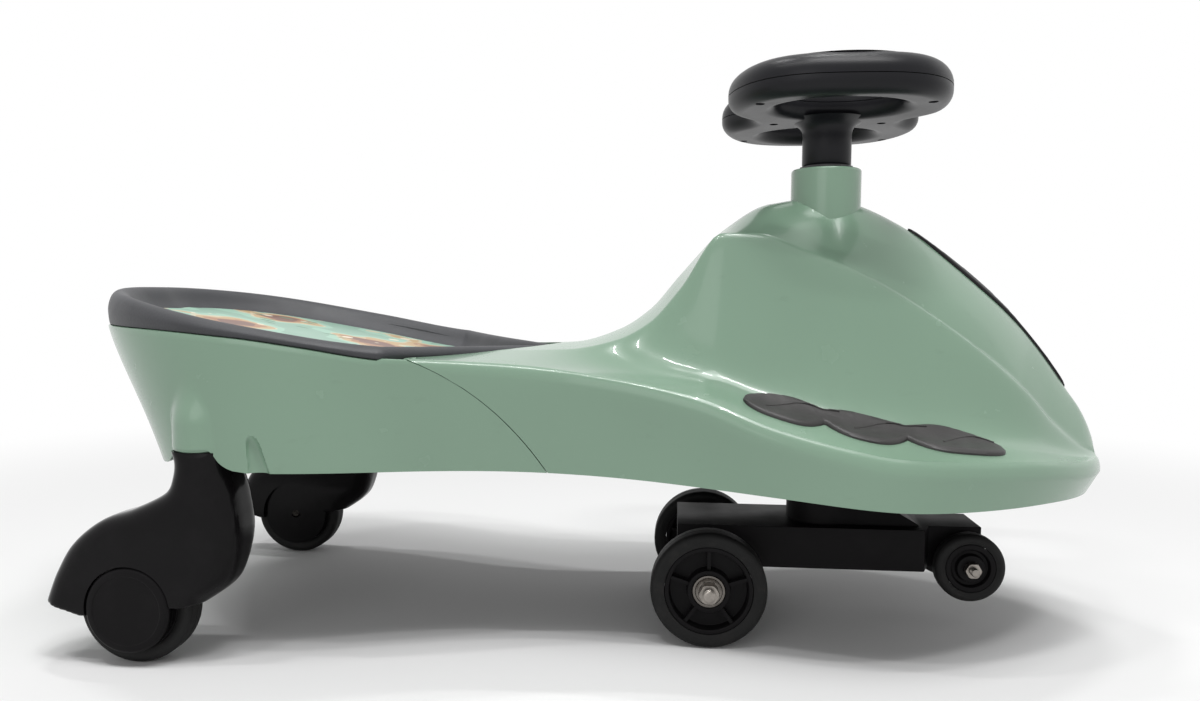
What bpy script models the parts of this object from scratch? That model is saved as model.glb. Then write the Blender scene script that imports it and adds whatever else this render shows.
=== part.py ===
"""A child's swing car: a moulded body on two trailing casters and a steered front truck.

Metres, +Z up. +X points forward and +Y to the rider's left. The origin lies on the floor, midway
along the length and the width.
"""

import math

import bmesh
import bpy
import numpy as np
from mathutils import Matrix, Vector
from mathutils.bvhtree import BVHTree

# Gaps between pieces
SEAT_GAP = 0.0003
RUNNING_GAP = 0.0004
SKIN_GAP = 0.0007

# Body in plan
BODY_LENGTH = 0.722
REAR_WIDE_X = -0.217
REAR_HALF_WIDTH = 0.1435
WAIST_X = -0.012
WAIST_HALF_WIDTH = 0.103
FRONT_WIDE_X = 0.196
FRONT_HALF_WIDTH = 0.129
TAIL_ROUNDNESS = 2.1
NOSE_ROUNDNESS = 1.62
WALL = 0.003

# Body heights
LOWER_EDGE_REAR = 0.129
LOWER_EDGE_FRONT = 0.111
NOSE_TIP_DROP = 0.006
NOSE_TIP_DEPTH = 0.024
KEEL_DROP = 0.025
KEEL_HALF_WIDTH = 0.090
KEEL_RUN = 1.168
TAIL_LEAN = 0.048
SIDE_DRAFT = 0.003
NOSE_TUCK = 0.006
SHOULDER_ROUNDING = 0.009
NECK_RISE = 0.013
NECK_OVERLAP = 0.0165
HOOD_HEIGHT = 0.3125
HOOD_SPINE_SETBACK = 0.030
SHELL_OVERLAP = 0.030
SEAM_TOP_LEAD = 0.009
SEAM_FOOT_SETBACK = 0.012
RIDGE_HALF_WIDTH = 0.055
SCOOP_POWER = 5.5
FOOT_REST_SLOPE = 0.14
CROWN_POWER = 1.3

# Seat
SEAT_FRONT_X = -0.0305
SEAT_FRONT_LENGTH = 0.0985
RIM_FOOT_FRONT = 0.192
RIM_FOOT_RISE = 0.0215
RIM_TAIL_RISE = 0.006
RIM_DEPTH_TAIL = 0.027
RIM_DEPTH_WIDE = 0.008
RIM_DEPTH_FRONT = 0.0105
BASIN_DEPTH = 0.016
TRAY_WALL = 0.003
SEAT_SPINE_SHARE = 0.75
SEAT_FRONT_BULGE = 1.06
SEAT_TIP_ROUNDNESS = 0.88
LEDGE_WIDTH = 0.017
LEDGE_WIDTH_FRONT = 0.009
RIM_WIDTH = 0.030
RIM_WIDTH_FRONT = 0.018
PANEL_THICKNESS = 0.0015

# Steering column and its bushes
COLUMN_X = 0.1645
COLUMN_RADIUS = 0.010
COLUMN_BORE = 0.008
COLLAR_RADIUS = 0.025
COLLAR_RISE = 0.0205
COLLAR_DEPTH = 0.062
BUSH_WALL = 0.004
BUSH_LENGTH = 0.034
BUSH_FLANGE = 0.019
FLANGE_THICKNESS = 0.0018
SLEEVE_RADIUS = 0.0175
PIN_RADIUS = 0.003

# Steering wheel
WHEEL_HALF_LENGTH = 0.0765
WHEEL_HALF_WIDTH = 0.1045
WHEEL_SQUARENESS = 2.9
WHEEL_NOTCH = 0.27
WHEEL_NOTCH_WIDTH = 0.022
WHEEL_STANDOFF = 0.0335
WHEEL_LOWER_DEPTH = 0.0115
WHEEL_UPPER_DEPTH = 0.0155
WHEEL_ROUNDING = 0.0085
SLEEVE_FLARE = 0.011
GRIP_CENTRE_SHARE = 0.488
GRIP_LENGTH_SHARE = 0.536
GRIP_WIDTH_SHARE = 0.297
WHEEL_SCREW_RADIUS = 0.0028
WHEEL_SCREW_SHANK = 0.0016
WHEEL_SCREW_RECESS = 0.004
LOBE_SCREW_SHARES = (0.72, 0.675)
MIDDLE_SCREW_SHARE = 0.503

# Front truck
TRUCK_RISE = 0.036
TRUCK_SKIRT_RISE = 0.0062
TRUCK_HALF_WIDTH = 0.033
TRUCK_REAR_END = 0.0215
TRUCK_TAPER = 0.006
TRUCK_ARM_END = 0.0115
TRUCK_ARM_HALF_WIDTH = 0.0195
TRUCK_WALL = 0.0035
HUB_RADIUS = 0.024
WEB_HALF_WIDTH = 0.022
AXLE_BOSS_RADIUS = 0.0105

# Front road wheels
FRONT_AXLE_TRAIL = 0.084
FRONT_WHEEL_RADIUS = 0.040
FRONT_WHEEL_WIDTH = 0.020
FRONT_TRACK_HALF = 0.062
FRONT_TYRE_DEPTH = 0.0095
FRONT_RIM_BAND = 0.0035
FRONT_HUB_WALL = 0.0035
SPOKE_COUNT = 5
SPOKE_THICKNESS = 0.0035
BEARING_RADIUS = 0.011
BEARING_WIDTH = 0.007
AXLE_RADIUS = 0.004
AXLE_OVERHANG = 0.005
NUT_RADIUS = 0.0075
NUT_THICKNESS = 0.0065

# Raised front rollers that stop the car from tipping forward
ROLLER_LEAD = 0.1005
ROLLER_RADIUS = 0.0243
ROLLER_RISE = 0.0103
ROLLER_WIDTH = 0.013
ROLLER_SIDE_GAP = 0.0036
ROLLER_REAR_GAP = 0.0072
ROLLER_TYRE_DEPTH = 0.0068
ROLLER_AXLE_RADIUS = 0.003
ROLLER_NUT_RADIUS = 0.0058
ROLLER_NUT_THICKNESS = 0.005
ROLLER_AXLE_OVERHANG = 0.004
ROLLER_BOSS_RADIUS = 0.0085

# Rear casters
CASTER_SETBACK = 0.028
CASTER_INSET = 0.0205
CASTER_TRAIL = 0.047
CASTER_WHEEL_RADIUS = 0.038
CASTER_WHEEL_WIDTH = 0.018
CASTER_TYRE_DEPTH = 0.009
CASTER_AXLE_RADIUS = 0.004
SOCKET_MARGIN = 0.002
SOCKET_RISE = 0.015
SOCKET_TAPER = 0.006
SOCKET_HEADROOM = 0.0045
SOCKET_CLEARANCE = 0.040
STEM_RADIUS = 0.018
KINGPIN_RADIUS = 0.005
KINGPIN_BUSH_WALL = 0.003
KINGPIN_BUSH_FLANGE = 0.006
KINGPIN_HEAD = 0.002
KINGPIN_HEAD_MARGIN = 0.0045
KINGPIN_REACH = 0.040
HOOD_CAP_RECESS = 0.0065
HOOD_CHEEK = 0.003
HOOD_ROUNDING = 0.008
HOOD_NECK_SHARE = 0.64
HOOD_NECK_DROP = 0.008
WHEEL_SIDE_GAP = 0.0015
WHEEL_ARCH_GAP = 0.0035
LUG_MARGIN = 0.0005
LUG_CLEARANCE = 0.003
CAP_THICKNESS = 0.004

# Belly pans and their screws
PAN_THICKNESS = 0.003
PAN_CLEARANCE = 0.0012
PAN_LIFT = 0.002
PAN_SPLIT_SETBACK = 0.030
BOSS_RADIUS = 0.0055
SCREW_HEAD_RADIUS = 0.0032
SCREW_SHANK_RADIUS = 0.002
SCREW_LENGTH = 0.014
FRONT_SCREW_SHARE = 0.109
REAR_SCREW_SHARE = 0.795

# Trim on the hood and the foot rests
PAD_REAR_SHARE = 0.538
PAD_FRONT_SHARE = 0.424
PAD_CENTRE_SHARE = 0.733
PAD_HALF_WIDTH = 0.0140
PAD_WAVE = 0.0022
PAD_LOBES = 3
PAD_THICKNESS = 0.0022
TRIM_REAR_SHARE = 0.282
TRIM_FRONT_SHARE = 0.883
TRIM_HALF_WIDTH = 0.0125
TRIM_THICKNESS = 0.0018

# Fineness of the model
NOSE_STATIONS = 8
FRONT_MID_STATIONS = 16
REAR_MID_STATIONS = 10
PAN_MID_STATIONS = 14
TAIL_STATIONS = 6
ROUND_SEGMENTS = 16
SMALL_SEGMENTS = 8

# How far cutting shapes stand out of what they cut
CUTTER_REACH = 0.010

# Places and heights that follow from the sizes above
NOSE_X = BODY_LENGTH / 2
TAIL_X = -BODY_LENGTH / 2
SEAT_TURN_X = SEAT_FRONT_X - SEAT_FRONT_LENGTH
NECK_REAR_X = SEAT_FRONT_X - NECK_OVERLAP
NECK_HEIGHT = RIM_FOOT_FRONT + NECK_RISE
LOWER_EDGE_NOSE = LOWER_EDGE_FRONT - NOSE_TIP_DROP
NOSE_HEIGHT = LOWER_EDGE_NOSE + NOSE_TIP_DEPTH
RIM_FOOT_WIDE = RIM_FOOT_FRONT + RIM_FOOT_RISE
RIM_FOOT_TAIL = RIM_FOOT_WIDE + RIM_TAIL_RISE
RIM_CREST_TAIL = RIM_FOOT_TAIL + RIM_DEPTH_TAIL
RIM_CREST_WIDE = RIM_FOOT_WIDE + RIM_DEPTH_WIDE
RIM_CREST_FRONT = RIM_FOOT_FRONT + RIM_DEPTH_FRONT
COLLAR_TOP = HOOD_HEIGHT + COLLAR_RISE
BUSH_OUTER = COLUMN_RADIUS + RUNNING_GAP + BUSH_WALL
BUSH_SEAT = BUSH_OUTER + SEAT_GAP
SLEEVE_BOTTOM = COLLAR_TOP + FLANGE_THICKNESS + 2 * SEAT_GAP
WHEEL_UNDERSIDE = COLLAR_TOP + WHEEL_STANDOFF
WHEEL_PARTING = WHEEL_UNDERSIDE + WHEEL_LOWER_DEPTH
WHEEL_TOP = WHEEL_PARTING + WHEEL_UPPER_DEPTH
GRIP_CENTRE = GRIP_CENTRE_SHARE * WHEEL_HALF_WIDTH
GRIP_HALF_LENGTH = GRIP_LENGTH_SHARE * WHEEL_HALF_LENGTH
GRIP_HALF_WIDTH = GRIP_WIDTH_SHARE * WHEEL_HALF_WIDTH
TRUCK_TOP = FRONT_WHEEL_RADIUS + TRUCK_RISE
TRUCK_SKIRT = FRONT_WHEEL_RADIUS + TRUCK_SKIRT_RISE
TRUCK_REAR_REACH = FRONT_AXLE_TRAIL + TRUCK_REAR_END
TRUCK_FRONT_REACH = ROLLER_LEAD - ROLLER_RADIUS - ROLLER_REAR_GAP
TRUCK_ARM_REACH = ROLLER_LEAD + TRUCK_ARM_END
FRONT_RIM_RADIUS = FRONT_WHEEL_RADIUS - FRONT_TYRE_DEPTH
FRONT_RECESS_RADIUS = FRONT_RIM_RADIUS - FRONT_RIM_BAND
FRONT_HUB_RADIUS = BEARING_RADIUS + FRONT_HUB_WALL
ROLLER_HEIGHT = FRONT_WHEEL_RADIUS + ROLLER_RISE
ROLLER_TRACK_HALF = TRUCK_ARM_HALF_WIDTH + ROLLER_SIDE_GAP + ROLLER_WIDTH / 2
ROLLER_CORE_RADIUS = ROLLER_RADIUS - ROLLER_TYRE_DEPTH
CASTER_X = REAR_WIDE_X - CASTER_SETBACK
CASTER_TRACK_HALF = REAR_HALF_WIDTH - CASTER_INSET
CASTER_RIM_RADIUS = CASTER_WHEEL_RADIUS - CASTER_TYRE_DEPTH
SOCKET_RADIUS = STEM_RADIUS + SOCKET_MARGIN
SOCKET_BOTTOM = LOWER_EDGE_REAR + SOCKET_RISE
HOOD_HALF_WIDTH = CASTER_WHEEL_WIDTH / 2 + WHEEL_SIDE_GAP + HOOD_CHEEK + HOOD_CAP_RECESS
LUG_RADIUS = CASTER_RIM_RADIUS - LUG_MARGIN
PAN_SPLIT_X = WAIST_X - PAN_SPLIT_SETBACK
FRONT_SCREW_X = FRONT_WIDE_X + FRONT_SCREW_SHARE * (NOSE_X - FRONT_WIDE_X)
REAR_SCREW_X = REAR_WIDE_X + REAR_SCREW_SHARE * (SEAT_TURN_X - REAR_WIDE_X)
PAD_REAR_X = WAIST_X + PAD_REAR_SHARE * (FRONT_WIDE_X - WAIST_X)
PAD_FRONT_X = FRONT_WIDE_X + PAD_FRONT_SHARE * (NOSE_X - FRONT_WIDE_X)
TRIM_REAR_X = COLUMN_X + TRIM_REAR_SHARE * (NOSE_X - COLUMN_X)
TRIM_FRONT_X = COLUMN_X + TRIM_FRONT_SHARE * (NOSE_X - COLUMN_X)


def mix(start, end, share):
    """The value a share of the way from start to end."""
    return start + (end - start) * share


def ease(share):
    """A share from 0 to 1, eased at both ends."""
    share = min(max(share, 0.0), 1.0)
    return 0.5 - 0.5 * math.cos(math.pi * share)


def rail(points):
    """A smooth curve through (place, value) points that never swings past them."""
    places, values = np.array(points, dtype=float).T
    steps = np.diff(places)
    slopes = np.diff(values) / steps
    tangents = np.zeros(len(places))
    tangents[0], tangents[-1] = slopes[0], slopes[-1]
    for i in range(1, len(places) - 1):
        before, after = slopes[i - 1], slopes[i]
        if before * after > 0:
            far = 2 * steps[i] + steps[i - 1]
            near = steps[i] + 2 * steps[i - 1]
            tangents[i] = (far + near) / (far / before + near / after)

    def value(place):
        place = min(max(place, places[0]), places[-1])
        i = min(int(np.searchsorted(places, place, "right")) - 1, len(steps) - 1)
        t = (place - places[i]) / steps[i]
        bend = (2 * t**3 - 3 * t**2 + 1) * values[i] + (3 * t**2 - 2 * t**3) * values[i + 1]
        lean = (t**3 - 2 * t**2 + t) * tangents[i] + (t**3 - t**2) * tangents[i + 1]
        return float(bend + lean * steps[i])

    return value


def hood_place(share):
    """A place on the hood, as a share of the way from the column to the nose."""
    return mix(COLUMN_X, NOSE_X, share)


def neck_place(share):
    """A place on the neck, as a share of the way from its rear end to the column."""
    return mix(NECK_REAR_X, COLUMN_X, share)


def hood_height(share):
    """A height between the nose tip and the top of the hood."""
    return mix(NOSE_HEIGHT, HOOD_HEIGHT, share)


def neck_rise(share):
    """A height between the neck's lowest point and the top of the hood."""
    return mix(NECK_HEIGHT, HOOD_HEIGHT, share)


CROWN = rail([
    (NECK_REAR_X, NECK_HEIGHT - 0.001),
    (neck_place(0.13), neck_rise(0.005)),
    (neck_place(0.29), neck_rise(0.10)),
    (neck_place(0.40), neck_rise(0.245)),
    (neck_place(0.50), neck_rise(0.475)),
    (neck_place(0.65), neck_rise(0.785)),
    (neck_place(0.81), neck_rise(0.965)),
    (COLUMN_X, HOOD_HEIGHT),
    (hood_place(0.13), hood_height(0.967)),
    (hood_place(0.27), hood_height(0.896)),
    (hood_place(0.445), hood_height(0.766)),
    (hood_place(0.63), hood_height(0.594)),
    (hood_place(0.775), hood_height(0.418)),
    (hood_place(0.885), hood_height(0.254)),
    (hood_place(0.945), hood_height(0.160)),
    (hood_place(0.985), hood_height(0.063)),
    (NOSE_X, NOSE_HEIGHT),
])
RIDGE = rail([
    (NECK_REAR_X, NECK_HEIGHT - 0.003),
    (neck_place(0.13), NECK_HEIGHT - 0.002),
    (neck_place(0.29), neck_rise(0.045)),
    (neck_place(0.40), neck_rise(0.160)),
    (neck_place(0.50), neck_rise(0.380)),
    (neck_place(0.635), neck_rise(0.735)),
    (neck_place(0.75), neck_rise(0.733)),
    (neck_place(0.88), neck_rise(0.652)),
    (hood_place(0.11), hood_height(0.681)),
    (hood_place(0.34), hood_height(0.534)),
    (hood_place(0.535), hood_height(0.381)),
    (hood_place(0.67), hood_height(0.257)),
    (hood_place(0.78), hood_height(0.134)),
    (hood_place(0.90), hood_height(0.044)),
    (NOSE_X, NOSE_HEIGHT),
])
SHOULDER = rail([
    (SEAT_TURN_X, RIM_FOOT_FRONT + 0.009),
    (NECK_REAR_X, NECK_HEIGHT - 0.0095),
    (neck_place(0.26), NECK_HEIGHT - 0.016),
    (neck_place(0.56), mix(NOSE_HEIGHT, NECK_HEIGHT, 0.618)),
    (neck_place(0.76), mix(NOSE_HEIGHT, NECK_HEIGHT, 0.408)),
    (COLUMN_X, mix(NOSE_HEIGHT, NECK_HEIGHT, 0.243)),
    (hood_place(0.13), mix(NOSE_HEIGHT, NECK_HEIGHT, 0.186)),
    (hood_place(0.42), mix(NOSE_HEIGHT, NECK_HEIGHT, 0.148)),
    (hood_place(0.62), mix(NOSE_HEIGHT, NECK_HEIGHT, 0.112)),
    (hood_place(0.82), mix(NOSE_HEIGHT, NECK_HEIGHT, 0.040)),
    (NOSE_X, NOSE_HEIGHT),
])
LOWER_EDGE = rail([
    (REAR_WIDE_X, LOWER_EDGE_REAR),
    (mix(REAR_WIDE_X, WAIST_X, 0.45), LOWER_EDGE_REAR - 0.0008),
    (WAIST_X, mix(LOWER_EDGE_REAR, LOWER_EDGE_FRONT, 0.24)),
    (mix(WAIST_X, FRONT_WIDE_X, 0.65), mix(LOWER_EDGE_REAR, LOWER_EDGE_FRONT, 0.74)),
    (FRONT_WIDE_X, LOWER_EDGE_FRONT),
    (mix(FRONT_WIDE_X, NOSE_X, 0.55), LOWER_EDGE_FRONT - 0.001),
    (NOSE_X, LOWER_EDGE_NOSE),
])
RIM_FOOT = rail([
    (TAIL_X, RIM_FOOT_TAIL),
    (mix(TAIL_X, REAR_WIDE_X, 0.5), RIM_FOOT_TAIL - 0.0012),
    (REAR_WIDE_X, RIM_FOOT_WIDE),
    (mix(REAR_WIDE_X, SEAT_TURN_X, 0.45), mix(RIM_FOOT_WIDE, RIM_FOOT_FRONT, 0.26)),
    (SEAT_TURN_X, mix(RIM_FOOT_WIDE, RIM_FOOT_FRONT, 0.65)),
    (SEAT_FRONT_X, RIM_FOOT_FRONT),
])
RIM_CREST = rail([
    (TAIL_X, RIM_CREST_TAIL),
    (mix(TAIL_X, REAR_WIDE_X, 0.28), RIM_CREST_TAIL - 0.006),
    (REAR_WIDE_X, RIM_CREST_WIDE),
    (SEAT_TURN_X, mix(RIM_CREST_WIDE, RIM_CREST_FRONT, 0.72)),
    (SEAT_FRONT_X, RIM_CREST_FRONT),
])


def basin_floor(x):
    """Height of the seat basin's floor."""
    return RIM_CREST(x) - BASIN_DEPTH


def half_width(x):
    """Half of the body's width in plan, at its widest height."""
    if x <= REAR_WIDE_X:
        t = min((REAR_WIDE_X - x) / (REAR_WIDE_X - TAIL_X), 1.0)
        return REAR_HALF_WIDTH * (1 - t**TAIL_ROUNDNESS) ** (1 / TAIL_ROUNDNESS)
    if x <= WAIST_X:
        share = ease((x - REAR_WIDE_X) / (WAIST_X - REAR_WIDE_X))
        return mix(REAR_HALF_WIDTH, WAIST_HALF_WIDTH, share)
    if x <= FRONT_WIDE_X:
        share = ease((x - WAIST_X) / (FRONT_WIDE_X - WAIST_X))
        return mix(WAIST_HALF_WIDTH, FRONT_HALF_WIDTH, share)
    t = min((x - FRONT_WIDE_X) / (NOSE_X - FRONT_WIDE_X), 1.0)
    return FRONT_HALF_WIDTH * (1 - t**NOSE_ROUNDNESS) ** (1 / NOSE_ROUNDNESS)


def seat_half_width(x):
    """Half of the seat's width in plan: the body's own, drawn in to a round front end."""
    t = (x - SEAT_TURN_X) / (SEAT_FRONT_X - SEAT_TURN_X)
    if t <= 0:
        return half_width(x)
    return half_width(x) * (1 - min(t, 1.0) ** SEAT_FRONT_BULGE) ** SEAT_TIP_ROUNDNESS


def forward_share(x):
    """How far a place lies along the seat's round front end."""
    return ease((x - SEAT_TURN_X) / (SEAT_FRONT_X - SEAT_TURN_X))


def rim_width(x):
    """Width of the seat's rim in plan, narrower at the front."""
    return mix(RIM_WIDTH, RIM_WIDTH_FRONT, forward_share(x))


def ledge_width(x):
    """Width of the ledge under the seat's rim, narrower at the front."""
    return mix(LEDGE_WIDTH, LEDGE_WIDTH_FRONT, forward_share(x))


def socket_top():
    """Height of the caster sockets' upper ends, under the seat tray's floor."""
    return basin_floor(CASTER_X) - TRAY_WALL - SOCKET_HEADROOM


def top_height(x, y):
    """Height of the front shell's upper surface: hood, leg scoops and foot rests."""
    width = max(half_width(x), 1e-6)
    y = min(abs(y), width)
    ridge_y = min(RIDGE_HALF_WIDTH, 0.48 * width)
    if y <= ridge_y:
        return RIDGE(x) + (CROWN(x) - RIDGE(x)) * (1 - (y / ridge_y) ** CROWN_POWER)
    t = (y - ridge_y) / (width - ridge_y)
    forward = ease((x - NECK_REAR_X) / (neck_place(0.75) - NECK_REAR_X))
    steep = (1 - t) ** mix(1.1, SCOOP_POWER, forward)
    plain = mix(steep, 1 - t, FOOT_REST_SLOPE)
    return SHOULDER(x) + (RIDGE(x) - SHOULDER(x)) * plain


def lower_edge_height(x, y):
    """Height of the body's lower edge, which dips to a keel under the middle of the tail."""
    start = mix(REAR_WIDE_X, WAIST_X, 0.35)
    dip = ease((start - x) / (KEEL_RUN * (start - TAIL_X)))
    across = math.cos(min(abs(y) / KEEL_HALF_WIDTH, 1.0) * math.pi / 2) ** 2
    return LOWER_EDGE(x) - KEEL_DROP * dip * across


def new_object(name, bm):
    """An object holding this mesh, which stays at the world's origin until it is placed."""
    mesh = bpy.data.meshes.new(name)
    bm.to_mesh(mesh)
    bm.free()
    obj = bpy.data.objects.new(name, mesh)
    bpy.context.scene.collection.objects.link(obj)
    return obj


def settle(obj):
    """Turn what the modifiers make into the object's plain mesh."""
    depsgraph = bpy.context.evaluated_depsgraph_get()
    result = bpy.data.meshes.new_from_object(obj.evaluated_get(depsgraph))
    old = obj.data
    obj.modifiers.clear()
    obj.data = result
    result.name = obj.name
    bpy.data.meshes.remove(old)
    return obj


def split_large_faces(obj):
    """Cut faces of more than four corners into triangles, so that the next cut finds plain ones."""
    bm = bmesh.new()
    bm.from_mesh(obj.data)
    bmesh.ops.triangulate(bm, faces=[face for face in bm.faces if len(face.verts) > 4])
    bm.to_mesh(obj.data)
    bm.free()


def combine(target, tools, operation):
    """Join to the target, or cut from it, each of the tool shapes."""
    for tool in tools:
        modifier = target.modifiers.new(operation.title(), "BOOLEAN")
        modifier.operation = operation
        modifier.solver = "EXACT"
        modifier.object = tool
        settle(target)
        split_large_faces(target)
        bpy.data.objects.remove(tool)
    return target


def cut(target, *tools):
    """Cut the tool shapes out of the target."""
    return combine(target, tools, "DIFFERENCE")


def fuse(target, *tools):
    """Join the tool shapes to the target."""
    return combine(target, tools, "UNION")


def closed(bm):
    """Weld a finished solid's doubles and turn its faces outwards."""
    bmesh.ops.remove_doubles(bm, verts=bm.verts, dist=1e-6)
    bmesh.ops.recalc_face_normals(bm, faces=bm.faces)
    return bm


def turned(name, profile, segments=ROUND_SEGMENTS, axis="Z", centre=(0, 0, 0)):
    """A solid turned from a closed profile of (radius, height) points."""
    bm = bmesh.new()
    rings = []
    for radius, height in profile:
        ring = []
        for k in range(segments if radius > 0 else 1):
            angle = 2 * math.pi * k / segments - math.pi / 2
            ring.append(bm.verts.new((radius * math.cos(angle), radius * math.sin(angle), height)))
        rings.append(ring)
    for lower, upper in zip(rings, rings[1:] + rings[:1]):
        for k in range(segments):
            corners = [lower[k % len(lower)], lower[(k + 1) % len(lower)]]
            corners += [upper[(k + 1) % len(upper)], upper[k % len(upper)]]
            corners = list(dict.fromkeys(corners))
            if len(corners) > 2:
                bm.faces.new(corners)
    rows = {
        "X": ((0, 0, 1), (1, 0, 0), (0, 1, 0)),
        "Y": ((1, 0, 0), (0, 0, 1), (0, 1, 0)),
        "Z": ((1, 0, 0), (0, 1, 0), (0, 0, 1)),
    }
    bmesh.ops.transform(bm, matrix=Matrix(rows[axis]).to_4x4(), verts=bm.verts)
    bmesh.ops.translate(bm, vec=centre, verts=bm.verts)
    return new_object(name, closed(bm))


def rod(name, radius, low, high, segments=ROUND_SEGMENTS, axis="Z", centre=(0, 0, 0)):
    """A plain round bar from low to high along its axis."""
    profile = [(0, low), (radius, low), (radius, high), (0, high)]
    return turned(name, profile, segments, axis, centre)


def tube(name, outer, inner, low, high, segments=ROUND_SEGMENTS, axis="Z", centre=(0, 0, 0)):
    """A round tube from low to high along its axis."""
    profile = [(outer, low), (outer, high), (inner, high), (inner, low)]
    return turned(name, profile, segments, axis, centre)


def prism(name, outline, low, high, axis="Z"):
    """A straight prism over a plan outline, or over a side outline of (x, z) when the axis is Y."""
    bm = bmesh.new()
    ends = []
    for level in (low, high):
        if axis == "Z":
            ends.append([bm.verts.new((a, b, level)) for a, b in outline])
        else:
            ends.append([bm.verts.new((a, level, b)) for a, b in outline])
    count = len(outline)
    bm.faces.new(ends[0])
    bm.faces.new(ends[1])
    for k in range(count):
        bm.faces.new([ends[0][k], ends[0][(k + 1) % count], ends[1][(k + 1) % count], ends[1][k]])
    return new_object(name, closed(bm))


def box(name, low, high):
    """A rectangular block between two corners."""
    outline = [(low[0], low[1]), (high[0], low[1]), (high[0], high[1]), (low[0], high[1])]
    return prism(name, outline, low[2], high[2])


def smooth(obj, angle=35):
    """Shade the round faces smooth and keep the real edges sharp."""
    obj.data.shade_smooth()
    obj.data.set_sharp_from_angle(angle=math.radians(angle))
    return obj


def finish(obj, parent, material, sharp_angle=35):
    """Give a finished piece its shading, its material and its place under its axis."""
    smooth(obj, sharp_angle)
    obj.data.materials.clear()
    obj.data.materials.append(material)
    obj.parent = parent
    return obj


def material(name, colour, roughness, metallic=0.0, coat=0.0):
    """A plain surface of one colour."""
    made = bpy.data.materials.new(name)
    made.use_nodes = True
    shader = made.node_tree.nodes["Principled BSDF"]
    shader.inputs["Base Color"].default_value = (*colour, 1.0)
    shader.inputs["Roughness"].default_value = roughness
    shader.inputs["Metallic"].default_value = metallic
    shader.inputs["Coat Weight"].default_value = coat
    made.diffuse_color = (*colour, 1.0)
    return made


def axis_point(name, place, parent=None):
    """An empty that stands on a joint's axis."""
    empty = bpy.data.objects.new(name, None)
    bpy.context.scene.collection.objects.link(empty)
    empty.empty_display_size = 0.03
    empty.parent = parent
    home = parent.location if parent else Vector((0, 0, 0))
    empty.location = Vector(place) - home
    return empty


def mirrored_sheet(rows, keep=None):
    """A sheet from station rows on the +Y side and their mirror image, welded on the middle plane."""
    bm = bmesh.new()
    for side in (1, -1):
        grid = [[bm.verts.new((x, side * y, z)) for x, y, z in row] for row in rows]
        for i in range(len(grid) - 1):
            for j in range(len(grid[i]) - 1):
                if keep and not keep(i, j):
                    continue
                corners = [grid[i][j], grid[i + 1][j], grid[i + 1][j + 1], grid[i][j + 1]]
                bm.faces.new(corners if side > 0 else corners[::-1])
    bmesh.ops.remove_doubles(bm, verts=bm.verts, dist=1e-6)
    bmesh.ops.dissolve_degenerate(bm, edges=bm.edges, dist=1e-6)
    loose = [vert for vert in bm.verts if not vert.link_faces]
    bmesh.ops.delete(bm, geom=loose, context="VERTS")
    return bm


def outline_places(mid_stations):
    """Places along the body from tail to nose, closer together where the plan turns round."""
    count = TAIL_STATIONS
    tail = [mix(REAR_WIDE_X, TAIL_X, math.cos(math.pi / 2 * k / count)) for k in range(count)]
    middle = [mix(REAR_WIDE_X, FRONT_WIDE_X, k / mid_stations) for k in range(mid_stations)]
    nose = [
        mix(FRONT_WIDE_X, NOSE_X, math.sin(math.pi / 2 * k / NOSE_STATIONS))
        for k in range(NOSE_STATIONS + 1)
    ]
    return tail + middle + nose


def plan_normal(width, x):
    """The outward direction in plan of an outline with this half-width."""
    low, high = TAIL_X + 1e-9, NOSE_X - 1e-9
    step = 0.0004
    a, b = max(x - step, low), min(x + step, high)
    slope = (width(b) - width(a)) / (b - a)
    if x >= high - step / 8:
        return Vector((1, 0))
    if x <= low + step / 8:
        return Vector((-1, 0))
    return Vector((-slope, 1)).normalized()


def wall_point(x, inset, width=half_width):
    """A point of the plan outline, moved inwards by an inset."""
    normal = plan_normal(width, x)
    y = width(x) - inset * normal.y
    return x - inset * normal.x, max(y, 0.0) if abs(normal.y) > 1e-6 else 0.0


def side_foot(x):
    """The point where the body's side ends at its lower edge."""
    normal = plan_normal(half_width, x)
    lean = SIDE_DRAFT + TAIL_LEAN * max(-normal.x, 0.0) ** 1.6 + NOSE_TUCK * max(normal.x, 0.0) ** 2
    foot_x, foot_y = wall_point(x, lean)
    return foot_x, foot_y, lower_edge_height(foot_x, foot_y)


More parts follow.
